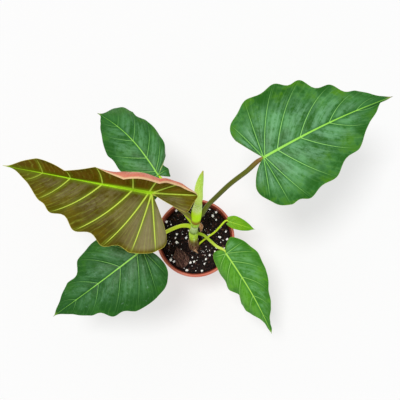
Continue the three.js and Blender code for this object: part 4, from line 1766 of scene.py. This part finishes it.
@dataclass(frozen=True)
class Stem:
    """The leaning stem with its nodes, the dry collar at its foot and the dry strips beside it."""

    rows: tuple[Row, ...] = (
        (-2.6, -17, 80, 6.2), (-2.3, -11.5, 93, 6.4), (-2.6, -7.5, 101, 6.6), (-3, -3.5, 110, 7.1),
        (-3, 0.5, 119, 6.5), (-3, 2, 122.5, 6.9), (-2.6, 6, 132, 6.9), (-1.9, 9, 138.5, 5.7),
        (-1.2, 11, 143, 5.8), (-0.5, 13, 149, 5.9), (-0.1, 14.6, 153, 6.7), (0.4, 17, 160.5, 6.5),
    )
    collar: tuple[Row, ...] = (
        (-2.5, -15, 87, 7.4), (-2.4, -11.2, 94, 7.8), (-2.6, -7.8, 101, 7.5), (-2.9, -5, 107, 7.4),
    )
    front_strip: tuple[Row, ...] = (
        (-9.8, -4, 108, 1.6), (-8.4, -10, 104.5, 2.6), (-4.6, -15.6, 101.5, 2.6), (0.5, -20.2, 98.5, 1.8),
        (4.4, -23.5, 95.6, 0.5),
    )
    right_strip: tuple[Row, ...] = (
        (3.4, 14.5, 140, 2.0), (5.8, 15.2, 135, 3.1), (8.6, 14.4, 128, 3.4), (9.6, 11.6, 120, 2.6),
        (8.4, 8, 113, 1.0),
    )
    rings: tuple[float, ...] = (0.31, 0.385, 0.5, 0.655, 0.745, 0.89, 0.96)

    def skin(self, angle: float, along: float) -> float:
        """Gives the stem's radius factor: a thin raised ring at each node and soft flutes.

        Args:
            angle: The angle round the stem, in radians.
            along: The share of its length.

        Returns:
            The factor.
        """
        ring = sum(bell(along - at, 0.007) for at in self.rings)
        groove = sum(bell(along - at - 0.018, 0.009) for at in self.rings)
        return 0.985 + 0.05 * ring - 0.04 * groove + 0.015 * math.sin(5 * angle + 12 * along)

    def collar_mesh(self) -> bmesh.types.BMesh:
        """Builds the torn papery collar: up its outer face, over the ragged edge and down its inner face.

        Returns:
            The mesh.
        """
        rod = Rod(self.collar, steps=24)
        sides, rows = 64, 30

        def place(u: float, v: float) -> Vector:
            """Gives a point of the collar's skin.

            Args:
                u: The share of the way round.
                v: The share of the way over the rows.

            Returns:
                The point, in millimetres.
            """
            angle = u * TURN
            ragged = 0.78 + 0.22 * ring_noise(angle, 2.6, 4) - 0.25 * max(0.0, math.cos(3 * angle + 1)) ** 6
            way = v * 2 if v <= 0.5 else 2 - v * 2
            flare = 1 + 0.05 * way + 0.05 * ring_noise(angle, 3, way * 4)
            inner = 0.9 if 0.03 < v - 0.5 < 0.47 else 1.0
            return rod.point(angle, way * min(1.0, ragged), flare * inner)

        return lay_grid((sides, rows), "Tube", place)

    def strip_mesh(self, path: tuple[Row, ...], curl: float) -> bmesh.types.BMesh:
        """Builds a dry curled strip.

        Args:
            path: The points of its middle line, each with its half width.
            curl: How far its edges curl up, in radians.

        Returns:
            The mesh.
        """
        rod = Rod(path, steps=28)
        sides = 16

        def place(u: float, v: float) -> Vector:
            """Gives a point of the strip's outer or inner face.

            Args:
                u: The share of the way round.
                v: The share of the way along it.

            Returns:
                The point, in millimetres.
            """
            side = abs(2 * u - 1) * 2 - 1
            thin = 0.2 * (1 - side**2) * min(1.0, 6 * v, 6 * (1 - v)) if u > 0.5 else 0.0
            crumple = 0.12 * noise.noise(Vector((side * 2, v * 6, 1)))
            return rod.point(side * curl + 1.2, v, (1 - thin) * (1 + crumple))

        return lay_grid((sides, rod.steps), "Tube", place)

    def build(self) -> None:
        """Makes the stem, its collar and its strips and puts them on the plant."""
        stem = Rod(self.rows, sides=40, steps=150)
        make_piece(stem.mesh(self.skin), "stem_fine", [StemFinish().material()], ("stem",))
        dry = DrySheathFinish().material()
        make_piece(self.collar_mesh(), "dry_collar_fine", [dry], ("dry_sheath_collar",))
        tan = DrySheathFinish("dry sheath, tan", dark=(150, 104, 72), light=(238, 204, 166),
                              stain=(130, 84, 56)).material()
        make_piece(self.strip_mesh(self.front_strip, 1.5), "dry_strip_front", [tan])
        pale = DrySheathFinish("dry sheath, pale", dark=(186, 122, 82), light=(255, 222, 176),
                               stain=(176, 92, 66)).material()
        make_piece(self.strip_mesh(self.right_strip, 1.9), "dry_strip_right", [pale])


@dataclass(frozen=True)
class Spear:
    """The young sheath and the leaf that is still rolled up inside it."""

    sheath: tuple[Row, ...] = (
        (0.6, 17.7, 161.9, 6.9), (1.5, 24, 175, 7.3), (2.6, 29.6, 187, 7.0), (4.2, 35.8, 200, 5.7))
    rolled: tuple[Row, ...] = (
        (3.4, 32.5, 193, 3.4), (4.6, 37.6, 203, 4.8), (5.3, 44, 214, 5.5), (5, 50.5, 227, 5.8),
        (6.4, 57.5, 241, 5.0), (8.6, 64.5, 253, 3.2), (11, 70.5, 262, 0.9))

    SEAM: ClassVar[float] = 0.94

    def roll(self, angle: float, along: float) -> float:
        """Gives the rolled leaf's radius factor: one edge lies over the other in a slow spiral."""
        return self.lap(angle, 0.16) * (1 + 0.02 * math.sin(7 * angle + 9 * along))

    def clasp(self, angle: float, along: float) -> float:
        """Gives the sheath's radius factor, with its overlap and fine ribs."""
        return self.lap(angle, 0.12) * (1 + 0.012 * math.sin(18 * angle))

    def lap(self, angle: float, step: float) -> float:
        """Gives the factor of an overlap that grows round the roll and drops back at its edge.

        Args:
            angle: The angle round the roll, in radians.
            step: How far the overlap stands out.

        Returns:
            The factor.
        """
        share = angle / TURN
        grown = share / self.SEAM if share < self.SEAM else (1 - share) / (1 - self.SEAM)
        return 1 - step / 2 + step * grown

    def build(self) -> None:
        """Makes both and puts them on the plant."""
        skin = SheathFinish(
            "young sheath", ((0.0, (132, 104, 16)), (0.08, (146, 134, 12)), (0.2, (180, 232, 0)),
                             (0.5, (190, 244, 0)), (0.64, (200, 240, 60)), (0.8, (188, 224, 92)),
                             (1.0, (178, 216, 84))),
            pale=(236, 246, 196), pale_share=0.6, spot=(214, 150, 96), seam=(234, 246, 150), pale_from=0.55)
        sheath = Rod(self.sheath, sides=50, steps=60, cap=0.9)
        make_piece(sheath.mesh(self.clasp), "sheath_fine", [skin.material()], ("sheath",))
        leaf = SheathFinish(
            "rolled leaf", ((0.0, (190, 226, 96)), (0.4, (190, 228, 72)), (0.6, (172, 222, 36)),
                            (0.9, (158, 212, 16)), (1.0, (196, 190, 60))),
            pale=(228, 242, 170), pale_share=0.45, spot=(206, 196, 110), seam=(234, 244, 90))
        rolled = Rod(self.rolled, sides=50, steps=80, cap=0.9)
        make_piece(rolled.mesh(self.roll), "rolled_leaf_fine", [leaf.material()],
                   ("rolled_leaf",))


@dataclass(frozen=True)
class Studio:
    """The camera at the photograph's angle, soft light from above and the left, and a pale floor."""

    lens: float = 75
    sensor: float = 36
    clip: tuple[float, float] = (0.05, 50)
    elevation: float = 80
    distance: float = 1286
    target: Point = (7, 58.4, 105)
    key_strength: float = 1.8
    key_angle: float = 17
    key_direction: Point = (0.2, -0.05, -1)
    sky: float = 0.45
    floor_size: float = 12000

    def build(self) -> None:
        """Makes the camera, the lights and the floor."""
        scene = bpy.context.scene
        self.add_camera(scene)
        self.add_lights(scene)
        self.add_floor(scene)
        scene.view_settings.view_transform = "Standard"

    def add_camera(self, scene: bpy.types.Scene) -> None:
        """Adds the camera, at the photograph's angle.

        Args:
            scene: The scene it looks at.
        """
        camera = bpy.data.objects.new("camera", bpy.data.cameras.new("camera"))
        camera.data.lens = self.lens
        camera.data.sensor_width = self.sensor
        camera.data.clip_start, camera.data.clip_end = self.clip
        slope = math.radians(self.elevation)
        back = Vector((0, -math.cos(slope), math.sin(slope)))
        camera.location = (Vector(self.target) + back * self.distance) * MM
        camera.rotation_euler = (-back).to_track_quat("-Z", "Y").to_euler()
        scene.collection.objects.link(camera)
        scene.camera = camera

    def add_lights(self, scene: bpy.types.Scene) -> None:
        """Adds the soft key light and the even light of the room.

        Args:
            scene: The scene they light.
        """
        key = bpy.data.objects.new("key light", bpy.data.lights.new("key light", "SUN"))
        key.data.energy = self.key_strength
        key.data.angle = math.radians(self.key_angle)
        key.rotation_euler = Vector(self.key_direction).to_track_quat("-Z", "Y").to_euler()
        scene.collection.objects.link(key)
        world = bpy.data.worlds.new("studio")
        world.use_nodes = True
        world.node_tree.nodes["Background"].inputs["Color"].default_value = (1, 1, 1, 1)
        world.node_tree.nodes["Background"].inputs["Strength"].default_value = self.sky
        scene.world = world

    def add_floor(self, scene: bpy.types.Scene) -> None:
        """Adds the floor, which isn't part of the plant.

        Args:
            scene: The scene it belongs to.
        """
        bm = bmesh.new()
        bmesh.ops.create_grid(bm, x_segments=1, y_segments=1, size=self.floor_size / 2 * MM)
        mesh = bpy.data.meshes.new("floor")
        bm.to_mesh(mesh)
        bm.free()
        mesh.materials.append(FloorFinish().material())
        floor = bpy.data.objects.new("floor", mesh)
        scene.collection.objects.link(floor)


GREEN_UPPER = LeafFace(
    "green leaf, upper face", deep=(32, 98, 8), mid=(80, 150, 76), fresh=(88, 150, 0),
    painted_sheen=(138, 198, 150), beside=(32, 102, 32), vein=(160, 230, 122), rib=(166, 238, 90),
    tip=(176, 172, 100), margin=(110, 160, 40), vein_width=0.6, rib_width=1.6, painted_sheen_share=0.56,
    fresh_share=0.9)
GREEN_LOWER = LeafFace(
    "green leaf, lower face", deep=(96, 140, 78), mid=(118, 160, 92), fresh=(140, 176, 84),
    painted_sheen=(160, 186, 132), beside=(110, 156, 84), vein=(178, 206, 128), rib=(188, 214, 116),
    tip=(150, 176, 84), margin=(128, 104, 66), painted_sheen_share=0.35, roughness=0.6, coat=0.0)
DARK_UPPER = LeafFace(
    "darker green leaf, upper face", deep=(27, 88, 15), mid=(44, 106, 34), fresh=(60, 126, 8),
    painted_sheen=(100, 156, 110), beside=(22, 82, 22), vein=(142, 212, 108), rib=(156, 228, 90), tip=(140, 180, 40),
    margin=(70, 124, 24), fresh_share=0.6, vein_width=0.42, rib_width=1.1, vein_fade=0.35, painted_sheen_share=0.5,
    glint_share=0.3)
BACK_UPPER = replace(
    DARK_UPPER, name="back leaf, upper face", deep=(30, 96, 14), mid=(62, 130, 50), fresh=(80, 148, 12),
    painted_sheen=(120, 182, 132), beside=(34, 102, 32), rib_width=1.0, glint_share=0.0)
FRESH_UPPER = LeafFace(
    "fresh green leaf, upper face", deep=(56, 126, 16), mid=(82, 150, 50), fresh=(104, 176, 4),
    painted_sheen=(130, 194, 130), beside=(58, 130, 34), vein=(168, 230, 116), rib=(178, 236, 90), tip=(150, 200, 30),
    margin=(130, 184, 40), vein_width=0.4, rib_width=1.0, vein_fade=0.4, painted_sheen_share=0.55, fresh_share=1.0,
    right_half=(98, 172, 0), right_share=0.65)
SMALL_UPPER = LeafFace(
    "small leaf, upper face", deep=(100, 166, 4), mid=(122, 184, 10), fresh=(142, 202, 14),
    painted_sheen=(156, 206, 70), beside=(108, 176, 6), vein=(166, 218, 50), rib=(190, 230, 70), tip=(96, 140, 20),
    margin=(130, 180, 20), vein_width=0.25, rib_width=0.45, painted_sheen_share=0.3, margin_width=0.4,
    beside_reach=1.5)
FRESH_LOWER = LeafFace(
    "fresh leaf, lower face", deep=(128, 172, 78), mid=(146, 188, 84), fresh=(160, 198, 84),
    painted_sheen=(176, 204, 128), beside=(138, 180, 78), vein=(190, 220, 120), rib=(200, 226, 110),
    tip=(150, 190, 70), margin=(150, 150, 74), vein_width=0.45, rib_width=1.0, painted_sheen_share=0.35,
    roughness=0.58, coat=0.0)
BRONZE_UPPER = LeafFace(
    "bronze leaf, upper face", deep=(84, 72, 0), mid=(102, 94, 4), fresh=(118, 100, 0), painted_sheen=(160, 150, 112),
    beside=(106, 124, 6), vein=(220, 246, 92), rib=(190, 248, 40), tip=(172, 214, 40), margin=(206, 196, 90),
    vein_width=1.05, rib_width=2.4, margin_width=0.7, painted_sheen_share=0.38, line_share=0.16, beside_share=0.7,
    beside_reach=7.0, vein_fade=0.8, glow_share=0.26, lobe_painted_sheen=1.7, right_half=(122, 90, 0),
    right_share=0.85, roughness=0.5, gloss=0.06, coat=0.0)
BRONZE_LOWER = LeafFace(
    "bronze leaf, lower face", deep=(218, 122, 98), mid=(236, 150, 126), fresh=(240, 168, 138),
    painted_sheen=(246, 190, 164), beside=(230, 140, 112), vein=(240, 200, 150), rib=(232, 214, 130),
    tip=(214, 206, 110), margin=(246, 214, 160), margin_width=3.2, painted_sheen_share=0.5, beside_share=0.2,
    roughness=0.5, coat=0.05)

OLIVE_STALK = StalkFinish(
    "olive stalk", ((0.0, (172, 196, 60)), (0.08, (108, 118, 20)), (0.35, (78, 84, 14)), (0.8, (90, 98, 6)),
                    (0.93, (128, 88, 30)), (1.0, (150, 150, 40))),
    streak=(136, 140, 64), speck=(60, 62, 16), lit=0.05)
FRESH_STALK = StalkFinish(
    "fresh stalk", ((0.0, (126, 150, 22)), (0.3, (142, 172, 26)), (0.55, (166, 194, 40)),
                    (0.8, (202, 224, 86)), (1.0, (196, 228, 80))),
    streak=(196, 214, 110), speck=(112, 140, 26), lit=0.1)
GREEN_STALK = StalkFinish(
    "green stalk", ((0.0, (160, 188, 20)), (0.15, (186, 214, 28)), (0.6, (198, 224, 44)),
                    (1.0, (190, 228, 36))),
    streak=(222, 236, 110), speck=(150, 176, 30))
HIDDEN_STALK = StalkFinish(
    "bronze leaf's stalk", ((0.0, (124, 124, 30)), (0.4, (122, 112, 44)), (1.0, (176, 190, 60))),
    streak=(170, 164, 90), speck=(96, 80, 36))

LEAVES = (
    Leaf(
        name="right_leaf", attach=(94.6, 92.3, 250), heading=27, pitch=3.5, droop=22, length=215, bow=3,
        fold=10, edge=-22, puff=1.6, wave=1.6,
        veins=(
            (0, -22.5, 40, 0, -27.5, -31, -1), (0, -18.5, 65, 3, -19, -58, -2), (0, 15.5, 87, 6, 4, -76, 4.5),
            (2, 64, 89, 8.5, 34, -81.5, 5), (22, 101, 77, 11.5, 80, -73, 7.5),
            (58, 138.5, 51.5, 8, 130.5, -50.5, 2), (105, 169, 28, 0.5, 161, -23.5, -2),
            (150, 195, 8.5, -0.5, 192, -2, -1.5),
        ),
        lobe=(0.05, 0.18),
        stalk=StalkShape(((-1, 19, 160), (8.5, 25.5, 172), (18, 36.5, 185), (29, 45.5, 197), (47, 60, 216),
                          (71, 75.5, 236)), 3.7, 2.2, 4.6),
        upper=GREEN_UPPER, lower=GREEN_LOWER, stalk_finish=OLIVE_STALK, slot=Slot.GREEN_LEAF,
        stalk_slot=Slot.OLIVE_STALK),
    Leaf(
        name="new_bronze_leaf", attach=(-59.1, 42.4, 250), heading=170.2, pitch=5, droop=0, length=205, bow=0,
        fold=8, edge=-20, puff=1.8, wave=1.4,
        veins=(
            (0, -30, 52, -2, -50, 17, 4), (0, -20, 78, 0, -67, -8, 2), (0, 13, 86, 7, -50, -28, 4),
            (4, 53, 84, 9, -20, -58, -2), (26, 95, 70, 9, 36, -80, 9), (68, 132, 51, 2.5, 78, -63, 2),
            (112, 151, 36, 0, 118, -44, 2), (150, 173, 13.5, 1.5, 160, -28, -2),
        ),
        lobe=(0.04, 0.05),
        right=Slopes((0, 2, 14, 40, 46, 68, 78, 55), (-6, 18, 64, 116, 132, 94, 100, 66),
                     (160, 206, 238, 257, 268, 270, 270, 270), (0, 90, 130, 80, 60, 0, 0, 0)),
        stalk=StalkShape(((-1, 18, 164), (-10, 24, 175), (-22, 30, 192), (-36, 37, 216), (-46, 41, 236)),
                         3, 2.2, 4),
        upper=BRONZE_UPPER, lower=BRONZE_LOWER, stalk_finish=HIDDEN_STALK, slot=Slot.BRONZE_LEAF,
        stalk_slot=Slot.GREEN_STALK, vein_relief=0.35, rib_relief=0.6),
    Leaf(
        name="back_leaf", attach=(-53.5, 79.1, 195), heading=132.5, pitch=0, droop=30, length=146, bow=-8,
        fold=8, edge=-34, puff=1.5, wave=1.3,
        veins=(
            (0, -20, 18, -2, -13, -12, 1), (0, -16, 38, 0, -3, -18.5, 8), (0, 14, 47, 3, 17, -27.5, -3),
            (6, 51, 44, 2, 49, -38, 0), (30, 82, 42.5, 0, 80.5, -38.5, 4.5), (64, 114, 24, 0, 111, -35, -1.5),
            (100, 130, 9.5, 2, 135.5, -25, 5),
        ),
        lobe=(0.15, 0.1),
        stalk=StalkShape(((-1, 13, 149), (-12, 26, 156), (-26, 45, 170), (-40, 62, 184)), 2.8, 2, 3.6),
        upper=BACK_UPPER, lower=GREEN_LOWER, stalk_finish=GREEN_STALK, slot=Slot.GREEN_LEAF,
        stalk_slot=Slot.GREEN_STALK),
    Leaf(
        name="front_left_leaf", attach=(-75.5, -28, 182), heading=-145, pitch=-3, droop=24, length=169, bow=2,
        fold=9, edge=-22, puff=1.6, wave=1.5,
        veins=(
            (0, -14, 27, 0, -13, -18, -2), (0, -9, 51.5, -2.5, -9, -40, -2), (0, 21, 67, 0, 18, -54, 2),
            (10, 57.5, 65.5, 5.5, 57, -55, 2), (40, 92, 51.5, 6, 88, -48, 10),
            (80, 119.5, 31, -0.5, 123, -28, 0), (122, 144, 12, 0.5, 149.5, -11.5, -1),
        ),
        lobe=(0.22, 0.1),
        stalk=StalkShape(((-2, 10, 138), (-11, 12.8, 143.5), (-24, 10.2, 153), (-41, 1, 165),
                          (-58, -13, 174)), 2.8, 2, 3.8),
        upper=DARK_UPPER, lower=GREEN_LOWER, stalk_finish=GREEN_STALK, slot=Slot.GREEN_LEAF,
        stalk_slot=Slot.GREEN_STALK),
    Leaf(
        name="front_right_leaf", attach=(45.3, -29.6, 150), heading=-58.5, pitch=-9.6, droop=30, length=151,
        bow=3, fold=6, edge=-22, puff=1.2, wave=1.1,
        veins=(
            (0, -17, 17.5, 0.5, -9, -9, -1), (0, -2, 33.5, 1.5, -4, -23, 0), (0, 24, 41.5, 1.5, 24, -30, 2.5),
            (14, 55, 37.5, -0.5, 54.5, -32.5, 9), (42, 85, 25, -0.5, 87, -25.5, -2),
            (76, 111, 16, 2, 107, -19, 1), (112, 132.5, 5, -2, 126.5, -4.5, -1.5),
        ),
        lobe=(0.25, 0.5),
        right=Slopes((-20,), (-58,), (270,)),
        stalk=StalkShape(((-2, 3, 118), (4.6, 3.4, 127), (12.4, -0.6, 136), (21.2, -8.6, 142),
                          (32, -18.8, 146.5)), 2.2, 1.4, 3.0),
        upper=FRESH_UPPER, lower=FRESH_LOWER, stalk_finish=FRESH_STALK, slot=Slot.FRESH_LEAF,
        stalk_slot=Slot.GREEN_STALK),
    Leaf(
        name="small_leaf", attach=(50, 20.2, 135), heading=-15, pitch=-5, droop=15, length=43, bow=0,
        fold=8, edge=-8, puff=0.5, wave=0.3,
        veins=(
            (0, -4, 5, 0, -3, -4, 0), (0, 6, 11, 0, 6, -8, 0), (6, 20, 9.5, 0, 20, -8, 0),
            (18, 32, 5, 0, 32, -5, 0),
        ),
        lobe=(0.05, 0.05),
        stalk=StalkShape(((3, -12, 84), (4.5, -9.5, 94), (10, -5.5, 101), (19, 0.5, 109), (31.5, 8.4, 119.5)),
                         1.5, 1.1, 1.8),
        upper=SMALL_UPPER, lower=FRESH_LOWER, stalk_finish=GREEN_STALK, slot=Slot.FRESH_LEAF,
        stalk_slot=Slot.GREEN_STALK, thickness=0.45, vein_relief=-0.08, rib_relief=0.1, rows_per_vein=12,
        columns=14),
)


def main() -> None:
    """Builds the studio, then the plant from the pot up."""
    logging.basicConfig(level=logging.INFO, format="%(message)s")
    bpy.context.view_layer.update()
    Studio().build()
    pot = Pot()
    for part in (pot, Soil(pot), BarkFlake(), Stem(), Spear(), *LEAVES):
        part.build()
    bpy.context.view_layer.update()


if __name__ == "__main__":
    main()
